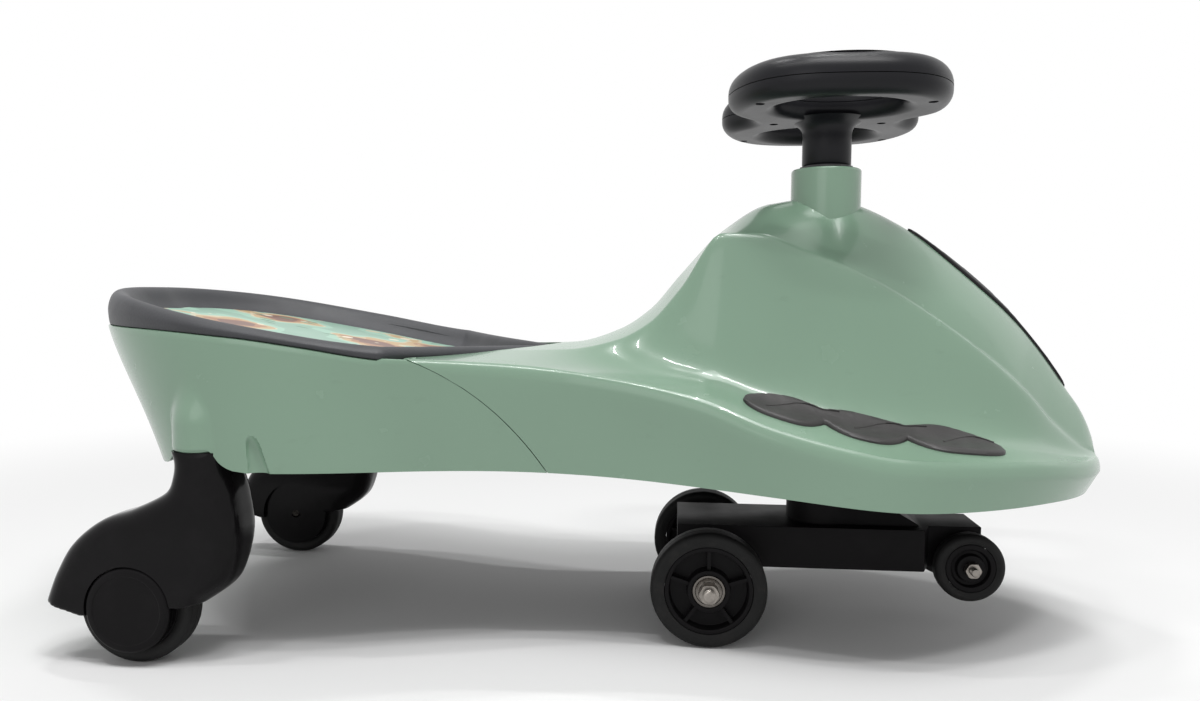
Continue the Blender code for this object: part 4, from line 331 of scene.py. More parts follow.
def forward_share(x):
    """How far a place lies along the seat's round front end."""
    return ease((x - SEAT_TURN_X) / (SEAT_FRONT_X - SEAT_TURN_X))


def rim_width(x):
    """Width of the seat's rim in plan, narrower at the front."""
    return mix(RIM_WIDTH, RIM_WIDTH_FRONT, forward_share(x))


def ledge_width(x):
    """Width of the ledge under the seat's rim, narrower at the front."""
    return mix(LEDGE_WIDTH, LEDGE_WIDTH_FRONT, forward_share(x))


def ridge_half_width(x):
    """How far the hood's crease lies from the middle plane, less where the body is narrow."""
    narrow = max(0.48 * half_width(x), 1e-6)
    return (RIDGE_HALF_WIDTH**-10 + narrow**-10) ** -0.1


def gusset(x, y):
    """How far the hood swells fore and aft of the collar, so that its foot ends in a point."""
    dx, dy = abs(x - COLUMN_X), abs(y)
    reach = max(hypot(dx, dy), 1e-9)
    drop = (CROWN(COLUMN_X) - RIDGE(COLUMN_X)) * (COLLAR_RADIUS / RIDGE_HALF_WIDTH) ** CROWN_POWER
    lift = drop * max((dy / reach) ** CROWN_POWER - 1 + dx / reach, 0.0)
    return 0.60 * lift * exp(-((max(reach - COLLAR_RADIUS, 0.0) / 0.020) ** 2))


def top_height(x, y):
    """Height of the front shell's upper surface: hood, leg scoops and foot rests."""
    width = max(half_width(x), 1e-6)
    y = min(abs(y), width)
    ridge_y = ridge_half_width(x)
    if y <= ridge_y:
        share = hypot(y / ridge_y, CROWN_ROUNDING) ** CROWN_POWER - CROWN_ROUNDING**CROWN_POWER
        share /= hypot(1, CROWN_ROUNDING) ** CROWN_POWER - CROWN_ROUNDING**CROWN_POWER
        return RIDGE(x) + (CROWN(x) - RIDGE(x)) * (1 - share) + gusset(x, y)
    t = (y - ridge_y) / (width - ridge_y)
    forward = ease((x - NECK_REAR_X) / (neck_place(0.75) - NECK_REAR_X))
    lip = RIDGE_LIP * forward
    t *= t * (1 + lip) / max(t + lip, 1e-9)
    steep = (1 - t) ** mix(1.1, SCOOP_POWER, forward)
    plain = mix(steep, 1 - t, FOOT_REST_SLOPE)
    return SHOULDER(x) + (RIDGE(x) - SHOULDER(x)) * plain


def lower_edge_height(x, y):
    """Height of the body's lower edge, which dips to a keel under the middle of the tail."""
    start = mix(REAR_WIDE_X, WAIST_X, 0.35)
    dip = ease((start - x) / (KEEL_RUN * (start - TAIL_X)))
    across = cos(min(abs(y) / KEEL_HALF_WIDTH, 1.0) * pi / 2) ** 2
    return LOWER_EDGE(x) - KEEL_DROP * dip * across


def plan_normal(width, x):
    """The outward direction in plan of an outline with this half-width."""
    low, high = TAIL_X + 1e-9, NOSE_X - 1e-9
    step = 0.0004
    a, b = max(x - step, low), min(x + step, high)
    slope = (width(b) - width(a)) / (b - a)
    if x >= high - step / 8:
        return Vector((1, 0))
    if x <= low + step / 8:
        return Vector((-1, 0))
    return Vector((-slope, 1)).normalized()


def wall_point(x, inset, width=half_width):
    """A point of the plan outline, moved inwards by an inset."""
    normal = plan_normal(width, x)
    y = width(x) - inset * normal.y
    return x - inset * normal.x, max(y, 0.0) if abs(normal.y) > 1e-6 else 0.0


def side_foot(x):
    """The point where the body's side ends at its lower edge."""
    normal = plan_normal(half_width, x)
    lean = SIDE_DRAFT + TAIL_LEAN * max(-normal.x, 0.0) ** 1.6 + NOSE_TUCK * max(normal.x, 0.0) ** 2
    foot_x, foot_y = wall_point(x, lean)
    return foot_x, foot_y, lower_edge_height(foot_x, foot_y)


def seat_station(x):
    """A station across the seat: its edge, its point on the middle line, and how far apart they are."""
    edge = wall_point(x, 0.0, seat_half_width)
    if x in (TAIL_X, SEAT_FRONT_X):
        edge = (x, 0.0)
    middle = mix(SEAT_FRONT_X, TAIL_X, 0.5)
    spine_x = middle + SEAT_SPINE_SHARE * (x - middle)
    return edge, spine_x, hypot(edge[0] - spine_x, edge[1])


def seat_inward(x, distance):
    """A point in plan at a distance from the seat's edge, on the way to its middle line."""
    edge, spine_x, run = seat_station(x)
    share = min(distance / run, 1.0)
    return mix(edge[0], spine_x, share), mix(edge[1], 0.0, share)


def places_along(turn_x, front_x, tail_steps, side_steps, front_steps):
    """Places from the tail to a front end, closer together where the plan turns round."""
    tail = [mix(REAR_WIDE_X, TAIL_X, cos(pi / 2 * k / tail_steps)) for k in range(tail_steps)]
    side = [mix(REAR_WIDE_X, turn_x, k / side_steps) for k in range(side_steps)]
    front = [mix(turn_x, front_x, sin(pi / 2 * k / front_steps)) for k in range(front_steps + 1)]
    return tail + side + front


def bend(start, corner, end, t):
    """A point of the curve from start to end that a corner draws towards itself."""
    return start * (1 - t) ** 2 + corner * 2 * t * (1 - t) + end * t**2


def seam_line():
    """The joint between the two shells, seen from the side: heights upwards and their places."""
    top = Vector((SEAT_TURN_X + SEAM_TOP_LEAD, SHOULDER(SEAT_TURN_X) + 0.5 * WALL))
    foot = Vector((WAIST_X - SEAM_FOOT_SETBACK, LOWER_EDGE(WAIST_X) - WALL))
    knee = Vector((mix(top.x, foot.x, 0.58), mix(top.y, foot.y, 0.24)))
    line = [bend(top, knee, foot, k / 24) for k in range(24, -1, -1)]
    return [p.y for p in line], [p.x for p in line]


SEAM = seam_line()


def ahead_of_seam(point):
    """How far a point lies ahead of the joint between the two shells."""
    return point.x - float(np.interp(point.z, *SEAM))


def link(name, mesh):
    """An object at the origin that holds this mesh."""
    obj = bpy.data.objects.new(name, mesh)
    bpy.context.scene.collection.objects.link(obj)
    return obj


def from_bmesh(name, bm):
    """An object made from a finished bmesh."""
    mesh = bpy.data.meshes.new(name)
    bm.to_mesh(mesh)
    bm.free()
    return link(name, mesh)


def settle(obj):
    """Turn what the modifiers make into the object's plain mesh."""
    depsgraph = bpy.context.evaluated_depsgraph_get()
    result = bpy.data.meshes.new_from_object(obj.evaluated_get(depsgraph))
    old = obj.data
    obj.modifiers.clear()
    obj.data = result
    result.name = obj.name
    bpy.data.meshes.remove(old)
    return obj


def modify(obj, kind, **settings):
    """Add a modifier with its settings."""
    modifier = obj.modifiers.new(kind.title(), kind)
    for name, value in settings.items():
        setattr(modifier, name, value)
    return obj


def closed_up(bm):
    """Weld a mesh's doubles and drop its collapsed edges."""
    bmesh.ops.remove_doubles(bm, verts=bm.verts, dist=2e-6)
    bmesh.ops.dissolve_degenerate(bm, edges=bm.edges, dist=1e-6)
    return bm


def welded(bm):
    """Weld a closed solid's doubles and turn its faces outwards."""
    closed_up(bm)
    bmesh.ops.recalc_face_normals(bm, faces=bm.faces)
    return bm


def soft_shading(obj, angle):
    """Shade the round faces smooth and keep the real edges sharp."""
    obj.data.shade_smooth()
    obj.data.set_sharp_from_angle(angle=radians(angle))
    return obj


def combine(target, tool, operation="DIFFERENCE"):
    """Cut a tool shape from the target, or combine them in another way."""
    settle(modify(target, "BOOLEAN", operation=operation, solver="EXACT", object=tool))
    bpy.data.objects.remove(tool)


def joined(target, *others):
    """Put the meshes of other objects into the target's own."""
    bm = bmesh.new()
    bm.from_mesh(target.data)
    for other in others:
        bm.from_mesh(other.data)
        bpy.data.objects.remove(other)
    bm.to_mesh(target.data)
    bm.free()
    return target


def fill_grid(bm, grid, flip=False):
    """Quads between neighbouring rows of vertices."""
    for row, after in zip(grid, grid[1:]):
        for j in range(len(row) - 1):
            corners = [row[j], after[j], after[j + 1], row[j + 1]]
            bm.faces.new(corners[::-1] if flip else corners)


def mirrored_sheet(rows):
    """A sheet from station rows on the +Y side and their mirror image, welded on the middle plane."""
    bm = bmesh.new()
    for side in (1, -1):
        fill_grid(bm, [[bm.verts.new((x, side * y, z)) for x, y, z in row] for row in rows], side < 0)
    return closed_up(bm)


def trim(bm, keep):
    """Cut a sheet along the line where keep changes sign, and drop the side where it is negative."""
    level = {vert: keep(vert.co) for vert in bm.verts}
    crossed = [edge for edge in bm.edges if level[edge.verts[0]] * level[edge.verts[1]] < 0]
    for edge in crossed:
        start, end = edge.verts
        share = level[start] / (level[start] - level[end])
        _, vert = bmesh.utils.edge_split(edge, start, min(max(share, 0.001), 0.999))
        level[vert] = 0.0
    for face in list(bm.faces):
        on_line = [vert for vert in face.verts if level[vert] == 0.0]
        sides = {level[vert] > 0 for vert in face.verts if level[vert] != 0.0}
        if len(sides) == 2 and len(on_line) == 2:
            bmesh.utils.face_split(face, *on_line)
    gone = [face for face in bm.faces if min(level[vert] for vert in face.verts) < 0]
    bmesh.ops.delete(bm, geom=gone, context="FACES")
    bmesh.ops.remove_doubles(bm, verts=bm.verts, dist=4e-5)


def outside_outline(outline):
    """A call that gives how far a point lies outside a closed plan outline."""
    start = np.array(outline)
    along = np.roll(start, -1, axis=0) - start
    rise = np.where(along[:, 1] == 0, 1, along[:, 1])
    squares = (along**2).sum(axis=1)

    def distance(point):
        to_point = np.array((point.x, point.y)) - start
        share = np.clip((to_point * along).sum(axis=1) / squares, 0, 1)
        gap = float(np.hypot(*(to_point - along * share[:, None]).T).min())
        above = to_point[:, 1] < 0
        crosses = above != np.roll(above, -1)
        reach = start[:, 0] + (point.y - start[:, 1]) * along[:, 0] / rise
        return -gap if np.sum(crosses & (reach > point.x)) % 2 else gap

    return distance


def thickened(name, bm):
    """A shell from a sheet, with its wall on the inner side."""
    shell = from_bmesh(name, bm)
    return settle(modify(shell, "SOLIDIFY", thickness=WALL, offset=-1, use_quality_normals=True))


def turned(name, profile, segments, axis="Y", centre=(0, 0, 0)):
    """A solid turned from a closed profile of (radius, height) points."""
    bm = bmesh.new()
    rings = []
    for radius, height in profile:
        angles = [2 * pi * k / segments for k in range(segments if radius > 0 else 1)]
        rings.append([bm.verts.new((radius * cos(a), radius * sin(a), height)) for a in angles])
    for lower, upper in zip(rings, rings[1:] + rings[:1]):
        for k in range(segments):
            corners = [lower[k % len(lower)], lower[(k + 1) % len(lower)]]
            corners += [upper[(k + 1) % len(upper)], upper[k % len(upper)]]
            corners = list(dict.fromkeys(corners))
            if len(corners) > 2:
                bm.faces.new(corners)
    if axis == "Y":
        turn = Matrix(((1, 0, 0), (0, 0, 1), (0, 1, 0))).to_4x4()
        bmesh.ops.transform(bm, matrix=turn, verts=bm.verts)
    bmesh.ops.translate(bm, vec=centre, verts=bm.verts)
    return from_bmesh(name, welded(bm))


def rounded(profile, radius, steps):
    """A closed profile with each sharp corner off the axis rounded by up to a radius."""
    made = []
    for k, corner in enumerate(profile):
        before, here, after = Vector(profile[k - 1]), Vector(corner), Vector(profile[(k + 1) % len(profile)])
        if here.x <= 0:
            made.append(tuple(here))
            continue
        reach = min(radius, 0.45 * (here - before).length, 0.45 * (after - here).length)
        start = here + (before - here).normalized() * reach
        end = here + (after - here).normalized() * reach
        made += [tuple(bend(start, here, end, n / steps)) for n in range(steps + 1)]
    return made


def rectangle(left, right, low, high):
    """The corners of a rectangle."""
    return [(left, low), (right, low), (right, high), (left, high)]


def with_mirror(profile):
    """Half of a turned profile and its mirror image across the middle."""
    return profile + [(radius, -height) for radius, height in profile[::-1]]


def prism(name, outline, low, high, axis="Z"):
    """A straight prism over a plan outline, or over a side outline of (x, z) when the axis is Y."""
    bm = bmesh.new()
    ends = [
        [bm.verts.new((a, b, level) if axis == "Z" else (a, level, b)) for a, b in outline]
        for level in (low, high)
    ]
    for end in ends:
        bm.faces.new(end)
    fill_grid(bm, [end + end[:1] for end in ends])
    return from_bmesh(name, welded(bm))


def smooth_line(points, steps):
    """A smooth line through the points, with extra points between each two."""
    last = len(points) - 1
    made = []
    for k in range(last):
        a, b, c, d = (Vector(points[min(max(k + n, 0), last)]) for n in (-1, 0, 1, 2))
        for n in range(steps):
            t = n / steps
            made.append(0.5 * (2 * b + (c - a) * t + (2 * a - 5 * b + 4 * c - d) * t**2
                               + (3 * b - a - 3 * c + d) * t**3))
    return [tuple(point) for point in made + [Vector(points[-1])]]


def seat_outline(clearance):
    """The seat's plan outline, widened by a clearance."""
    half = [(x, seat_half_width(x)) for x in places_along(SEAT_TURN_X, SEAT_FRONT_X, 30, 40, 60)]
    outline = half + [(x, -y) for x, y in half[-2:0:-1]]
    grown = []
    for k, corner in enumerate(outline):
        before, here, after = Vector(outline[k - 1]), Vector(corner), Vector(outline[(k + 1) % len(outline)])
        along = ((here - before).normalized() + (after - here).normalized()).normalized()
        grown.append(tuple(here - Vector((along.y, -along.x)) * clearance))
    return grown


def sizes():
    """The sizes that the user may change."""
    return bpy.context.scene.swing_car_sizes


def colours():
    """The colours that the user may change."""
    return bpy.context.scene.swing_car_colours


def out(tree, kind, output, inputs=(), **settings):
    """One output of a new node, whose inputs are set to values or linked to other outputs."""
    node = tree.nodes.new(kind)
    for name, value in settings.items():
        setattr(node, name, value)
    for key, value in dict(inputs).items():
        if isinstance(value, bpy.types.NodeSocket):
            tree.links.new(value, node.inputs[key])
        else:
            node.inputs[key].default_value = value
    return node.outputs[output]


def rgba(tone):
    """A colour with its alpha, or a node's output as it is."""
    return (*tone, 1) if isinstance(tone, tuple) else tone


class Surface:
    """A node material under construction, with short calls for the nodes it needs."""

    def __init__(self, name, colour, roughness, metallic=0.0, coat=0.0, coat_roughness=0.05, shine=0.5):
        self.material = bpy.data.materials.new(name)
        self.material.use_nodes = True
        self.material.diffuse_color = rgba(colour)
        self.tree = self.material.node_tree
        self.shader = self.tree.nodes["Principled BSDF"]
        values = {
            "Base Color": rgba(colour), "Roughness": roughness, "Metallic": metallic,
            "Specular IOR Level": shine, "Coat Weight": coat, "Coat Roughness": coat_roughness,
        }
        for label, value in values.items():
            self.shader.inputs[label].default_value = value
        self.place = out(self.tree, "ShaderNodeTexCoord", "Object")
        self.relief = None

    def stretched(self, *scale):
        """The object's own coordinates, scaled unevenly."""
        return out(self.tree, "ShaderNodeMapping", "Vector", {"Scale": scale, "Vector": self.place})

    def noise(self, scale, detail=3.0, roughness=0.5, place=None):
        """Soft noise from 0 to 1."""
        inputs = {"Scale": scale, "Detail": detail, "Roughness": roughness, "Vector": place or self.place}
        return out(self.tree, "ShaderNodeTexNoise", "Fac", inputs)

    def cells(self, scale, feature="F1", place=None):
        """Cells for grain, specks and pebbles."""
        inputs = {"Scale": scale, "Vector": place or self.place}
        return out(self.tree, "ShaderNodeTexVoronoi", "Distance", inputs, feature=feature)

    def ramp(self, value, *stops):
        """A colour ramp, or a grey one, from (place, tone) stops."""
        colour = out(self.tree, "ShaderNodeValToRGB", "Color", {"Fac": value})
        elements = colour.node.color_ramp.elements
        while len(elements) < len(stops):
            elements.new(0.5)
        for element, (place, tone) in zip(elements, stops):
            element.position = place
            element.color = rgba(tone if isinstance(tone, tuple) else (tone, tone, tone))
        return colour

    def sum(self, operation, a, b):
        """One sum on two values."""
        return out(self.tree, "ShaderNodeMath", "Value", {0: a, 1: b}, operation=operation)

    def blend(self, share, a, b):
        """Two colours mixed by a share."""
        inputs = {0: share, 6: rgba(a), 7: rgba(b)}
        return out(self.tree, "ShaderNodeMix", 2, inputs, data_type="RGBA")

    def colour(self, value):
        """Use a value as the base colour."""
        self.tree.links.new(value, self.shader.inputs["Base Color"])

    def gloss(self, value, low, high):
        """Let a value drive the roughness between two limits."""
        inputs = {"To Min": low, "To Max": high, "Value": value}
        result = out(self.tree, "ShaderNodeMapRange", "Result", inputs)
        self.tree.links.new(result, self.shader.inputs["Roughness"])

    def bump(self, height, strength, distance):
        """Add one layer of relief."""
        inputs = {"Strength": strength, "Distance": distance, "Height": height}
        if self.relief:
            inputs["Normal"] = self.relief
        self.relief = out(self.tree, "ShaderNodeBump", "Normal", inputs)
        self.tree.links.new(self.relief, self.shader.inputs["Normal"])


def shade(colour, factor):
    """A colour made darker or lighter."""
    return tuple(min(max(c * factor, 0.0), 1.0) for c in colour)


def glossy_shell_paint(name):
    """Glossy sage plastic with a faint moulding ripple and flow shades."""
    tone = tuple(colours().body)
    s = Surface(name, tone, 0.24, coat=0.4, shine=0.35)
    flow = s.ramp(s.noise(5.0, 2.0), (0.3, 0.0), (0.7, 1.0))
    scuffs = s.ramp(s.noise(70.0, 8.0, 0.75, s.stretched(0.35, 1.0, 1.0)), (0.60, 0.0), (0.78, 0.35))
    shaded = s.blend(flow, shade(tone, 0.94), shade(tone, 1.06))
    s.colour(s.blend(scuffs, shaded, shade(tone, 0.72)))
    s.gloss(s.noise(38.0, 4.0), 0.20, 0.31)
    s.bump(s.noise(120.0, 1.0), 0.10, 0.0004)
    s.bump(s.noise(1400.0, 2.0), 0.06, 0.0001)
    return s.material


def tray_grain(name):
    """Matt dark grey plastic with a fine leather grain and pale rubbed crests."""
    tone = tuple(colours().tray)
    s = Surface(name, tone, 0.46, shine=0.45)
    grain = s.cells(950.0, "SMOOTH_F1")
    wear = s.ramp(s.noise(14.0, 5.0), (0.35, 0.0), (0.75, 1.0))
    base = s.blend(wear, shade(tone, 0.85), shade(tone, 1.35))
    s.colour(s.blend(s.ramp(grain, (0.1, 0.0), (0.5, 0.35)), base, shade(tone, 0.6)))
    s.gloss(s.noise(60.0), 0.42, 0.58)
    s.bump(grain, 0.35, 0.0003)
    s.bump(s.noise(2200.0, 2.0), 0.15, 0.0001)
    return s.material


def seat_print(name):
    """Satin mint panel printed with flat clouds, pebbles and leaves in warm tones."""
    mint = tuple(colours().panel)
    ochre, clay, umber = (0.52, 0.36, 0.18), (0.38, 0.18, 0.09), (0.16, 0.07, 0.045)
    sand, cream, leaf = (0.60, 0.56, 0.40), (0.80, 0.74, 0.58), (0.10, 0.24, 0.15)
    s = Surface(name, mint, 0.38, coat=0.15, coat_roughness=0.25)
    puffs = s.sum("MULTIPLY", s.cells(40.0), 0.19)
    clouds = s.sum("SUBTRACT", s.noise(19.0, 1.0, 0.4, s.stretched(0.8, 1.2, 1.0)), puffs)
    stops, start = [], 0.0
    for end, tone in ((0.330, shade(mint, 0.78)), (0.430, mint), (0.455, sand), (0.515, ochre),
                      (0.560, clay), (1.0, umber)):
        stops += [(start, tone), (end - 0.003, tone)]
        start = end
    pebbles = s.ramp(s.cells(44.0), (0.19, 1.0), (0.21, 0.0))
    sites = s.ramp(s.noise(17.0, 1.0), (0.53, 0.0), (0.54, 1.0))
    dotted = s.blend(s.sum("MULTIPLY", pebbles, sites), s.ramp(clouds, *stops), cream)
    blades = s.ramp(s.cells(30.0, place=s.stretched(1.0, 2.6, 1.0)), (0.20, 1.0), (0.22, 0.0))
    beds = s.ramp(s.noise(10.0, 0.0), (0.42, 1.0), (0.43, 0.0))
    s.colour(s.blend(s.sum("MULTIPLY", blades, beds), dotted, leaf))
    s.gloss(s.noise(40.0), 0.30, 0.46)
    s.bump(s.noise(1600.0, 1.0), 0.08, 0.0001)
    return s.material


def pad_vinyl(name):
    """Dark grey foot pad plastic with a fine pebble and scuffed patches."""
    tone = tuple(colours().pad)
    s = Surface(name, tone, 0.36, shine=0.3)
    scuff = s.ramp(s.noise(30.0, 6.0, 0.6), (0.5, 0.0), (0.8, 0.6))
    s.colour(s.blend(scuff, tone, shade(tone, 1.9)))
    s.gloss(s.noise(90.0, 4.0), 0.30, 0.50)
    s.bump(s.cells(1500.0), 0.22, 0.0002)
    return s.material


def wheel_satin(name):
    """Satin charcoal of the steering wheel, with a fine spark texture."""
    tone = tuple(colours().wheel)
    s = Surface(name, tone, 0.30, shine=0.19)
    cloud = s.ramp(s.noise(9.0), (0.3, 0.0), (0.7, 1.0))
    s.colour(s.blend(cloud, shade(tone, 0.85), shade(tone, 1.25)))
    s.gloss(s.noise(26.0, 4.0), 0.28, 0.42)
    s.bump(s.noise(1500.0), 0.22, 0.0002)
    return s.material


def black_plastic(name, roughness, spread, grain, shine):
    """Black moulded plastic, from the glossy hoods to the matt truck."""
    tone = tuple(colours().black)
    s = Surface(name, tone, roughness, shine=shine)
    dust = s.ramp(s.noise(34.0, 6.0, 0.65), (0.48, 0.0), (0.85, 0.5))
    s.colour(s.blend(dust, tone, shade(tone, 2.2)))
    s.gloss(s.noise(45.0, 4.0), roughness - spread, roughness + spread)
    s.bump(s.noise(70.0, 2.0), 0.05, 0.0006)
    s.bump(s.noise(1300.0, 2.0), grain, 0.0002)
    return s.material


def tyre_rubber(name):
    """Dull black rubber with fine moulding grain and grey dust in the pores."""
    s = Surface(name, (0.010, 0.010, 0.010), 0.62, shine=0.2)
    dust = s.ramp(s.noise(60.0, 8.0, 0.7), (0.5, 0.0), (0.75, 0.7))
    s.colour(s.blend(dust, (0.008, 0.008, 0.008), (0.024, 0.022, 0.021)))
    s.gloss(s.noise(50.0), 0.52, 0.72)
    s.bump(s.cells(1100.0), 0.25, 0.0002)
    return s.material


def steel_surface(name, stretch, roughness, brightness):
    """Turned or drawn steel, with its tool marks along one direction."""
    tone = shade(tuple(colours().steel), brightness)
    s = Surface(name, tone, roughness, metallic=1.0)
    marks = s.noise(900.0, 3.0, 0.6, s.stretched(*stretch))
    stain = s.ramp(s.noise(160.0, 4.0), (0.40, 0.0), (0.75, 0.7))
    s.colour(s.blend(stain, tone, shade(tone, 0.55)))
    s.gloss(marks, roughness - 0.08, roughness + 0.12)
    s.bump(marks, 0.20, 0.0001)
    return s.material


def nylon_surface(name):
    """Dark self-oiling nylon of the bushes."""
    s = Surface(name, (0.022, 0.022, 0.024), 0.45)
    s.colour(s.blend(s.noise(120.0, 2.0), (0.018, 0.018, 0.02), (0.03, 0.03, 0.033)))
    s.gloss(s.noise(200.0, 2.0), 0.35, 0.55)
    s.bump(s.noise(1800.0, 2.0), 0.15, 0.0001)
    return s.material


# Each finish with the call that makes it and the values it takes
FINISHES = {
    "sage_gloss": (glossy_shell_paint,),
    "tray_grain": (tray_grain,),
    "seat_print": (seat_print,),
    "pad_vinyl": (pad_vinyl,),
    "wheel_satin": (wheel_satin,),
    "truck_matt": (black_plastic, 0.50, 0.10, 0.16, 0.0825),
    "hood_gloss": (black_plastic, 0.12, 0.04, 0.03, 0.099),
    "rim_matt": (black_plastic, 0.40, 0.08, 0.10, 0.0825),
    "cap_matt": (black_plastic, 0.46, 0.08, 0.22, 0.0825),
    "pan_matt": (black_plastic, 0.58, 0.08, 0.20, 0.1375),
    "trim_gloss": (black_plastic, 0.20, 0.05, 0.02, 0.1925),
    "tyre_rubber": (tyre_rubber,),
    "bearing_steel": (steel_surface, (1.0, 8.0, 1.0), 0.26, 0.42),
    "bolt_steel": (steel_surface, (1.0, 12.0, 1.0), 0.30, 0.85),
    "column_steel": (steel_surface, (1.0, 1.0, 0.08), 0.30, 0.9),
    "screw_steel": (steel_surface, (1.0, 1.0, 1.0), 0.34, 0.6),
    "black_steel": (steel_surface, (1.0, 12.0, 1.0), 0.40, 0.10),
    "bush_nylon": (nylon_surface,),
}
MADE = {}


def finish_of(name):
    """A finished material by name, made the first time it is asked for."""
    if name not in MADE:
        maker, *values = FINISHES[name]
        MADE[name] = maker(name, *values)
    return MADE[name]


def paint(mesh, material):
    """Give a whole mesh one finish."""
    mesh.materials.clear()
    mesh.materials.append(finish_of(material))


def dress(obj, material, body, nodes):
    """Give a finished piece its material, its body and the CAD nodes it stands for."""
    paint(obj.data, material)
    for polygon in obj.data.polygons:
        polygon.material_index = 0
    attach(obj, body)
    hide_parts(*nodes)
    return obj


def new_tree(name, inputs, grow):
    """A geometry tree with named inputs that ends in Realize Instances and Set Material."""
    tree = bpy.data.node_groups.new(name, "GeometryNodeTree")
    sockets = [("OUTPUT", "Geometry", "Geometry"), ("INPUT", "Geometry", "Geometry")]
    sockets += [("INPUT", label, kind) for label, kind in (*inputs, ("Finish", "Material"))]
    for way, label, kind in sockets:
        tree.interface.new_socket(label, in_out=way, socket_type=f"NodeSocket{kind}")
    given = tree.nodes.new("NodeGroupInput").outputs
    grown = out(tree, "GeometryNodeRealizeInstances", "Geometry", {"Geometry": grow(tree, given)})
    inputs = {"Geometry": grown, "Material": given["Finish"]}
    painted = out(tree, "GeometryNodeSetMaterial", "Geometry", inputs)
    tree.links.new(painted, tree.nodes.new("NodeGroupOutput").inputs["Geometry"])
    return tree


def copies(tree, given):
    """One piece set on every point."""
    piece = out(tree, "GeometryNodeObjectInfo", "Geometry", {"Object": given["Piece"]})
    inputs = {"Points": given["Geometry"], "Instance": piece}
    return out(tree, "GeometryNodeInstanceOnPoints", "Instances", inputs)


def ring(tree, given):
    """A number of copies of one piece round the Y axis."""
    piece = out(tree, "GeometryNodeObjectInfo", "Geometry", {"Object": given["Piece"]})
    points = out(tree, "GeometryNodePoints", "Geometry", {"Count": given["Count"]})
    index = out(tree, "GeometryNodeInputIndex", "Index")
    share = out(tree, "ShaderNodeMath", "Value", {0: index, 1: given["Count"]}, operation="DIVIDE")
    angle = out(tree, "ShaderNodeMath", "Value", {0: share, 1: 2 * pi}, operation="MULTIPLY")
    turn = out(tree, "ShaderNodeCombineXYZ", "Vector", {"Y": angle})
    inputs = {"Points": points, "Instance": piece, "Rotation": turn}
    return out(tree, "GeometryNodeInstanceOnPoints", "Instances", inputs)


def ribs(tree, given):
    """A thin round rib along each line of edges."""
    line = out(tree, "GeometryNodeMeshToCurve", "Curve", {"Mesh": given["Geometry"]})
    inputs = {"Resolution": 8, "Radius": given["Rib Radius"]}
    profile = out(tree, "GeometryNodeCurvePrimitiveCircle", "Curve", inputs)
    inputs = {"Curve": line, "Profile Curve": profile, "Fill Caps": True}
    return out(tree, "GeometryNodeCurveToMesh", "Mesh", inputs)


def grown_by(name, tree, values, points=((0, 0, 0),), edges=()):
    """The plain mesh that a tree makes from points, edges and its named inputs."""
    mesh = bpy.data.meshes.new(name)
    mesh.from_pydata(points, edges, [])
    obj = link(name, mesh)
    modifier = obj.modifiers.new(tree.name, "NODES")
    modifier.node_group = tree
    sockets = {item.name: item.identifier for item in tree.interface.items_tree if item.in_out == "INPUT"}
    for label, value in values.items():
        modifier[sockets[label]] = value
    return settle(obj)


def middle_of(node):
    """The middle of a CAD node's box."""
    low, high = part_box(node)
    return (low + high) / 2


def fit_screws(name, head, points, body, nodes):
    """Screws made as copies of one head on points, finished as one piece."""
    tree = new_tree("Copies On Points", [("Piece", "Object")], copies)
    screws = grown_by(name, tree, {"Piece": head, "Finish": finish_of("screw_steel")}, points)
    bpy.data.objects.remove(head)
    dress(soft_shading(screws, 30), "screw_steel", body, nodes)


def cross_head_screw(radius, height):
    """A pan-headed screw seen from below, with a cross recess in its head."""
    profile = rounded([
        (0, -height), (radius * 0.85, -height), (radius, -height * 0.45), (radius, 0),
        (radius * 0.5, 0), (radius * 0.5, height * 2), (0, height * 2),
    ], radius * 0.2, 3)
    screw = turned("cross_head_screw", profile, 32, "Z")
    reach, half, deep = radius * 0.55, radius * 0.11, height * 0.55
    for turn in (0, pi / 2):
        arm = prism("slot", rectangle(-reach, reach, -half, half), -height - 0.001, -height + deep)
        arm.data.transform(Matrix.Rotation(turn, 4, "Z"))
        combine(screw, arm)
    return soft_shading(screw, 30)


def crease_depth(x, y):
    """How far the hood sinks just inside its crease, so that the crease stands as a crisp line."""
    inside = ridge_half_width(x) - abs(y)
    if inside <= 0:
        return 0.0
    run = ease((x - neck_place(0.55)) / 0.05) * ease((NOSE_X - 0.012 - x) / 0.04)
    return CREASE_DEPTH * run * (1 - exp(-((inside / CREASE_LIP) ** 2))) * exp(-inside / CREASE_FADE)


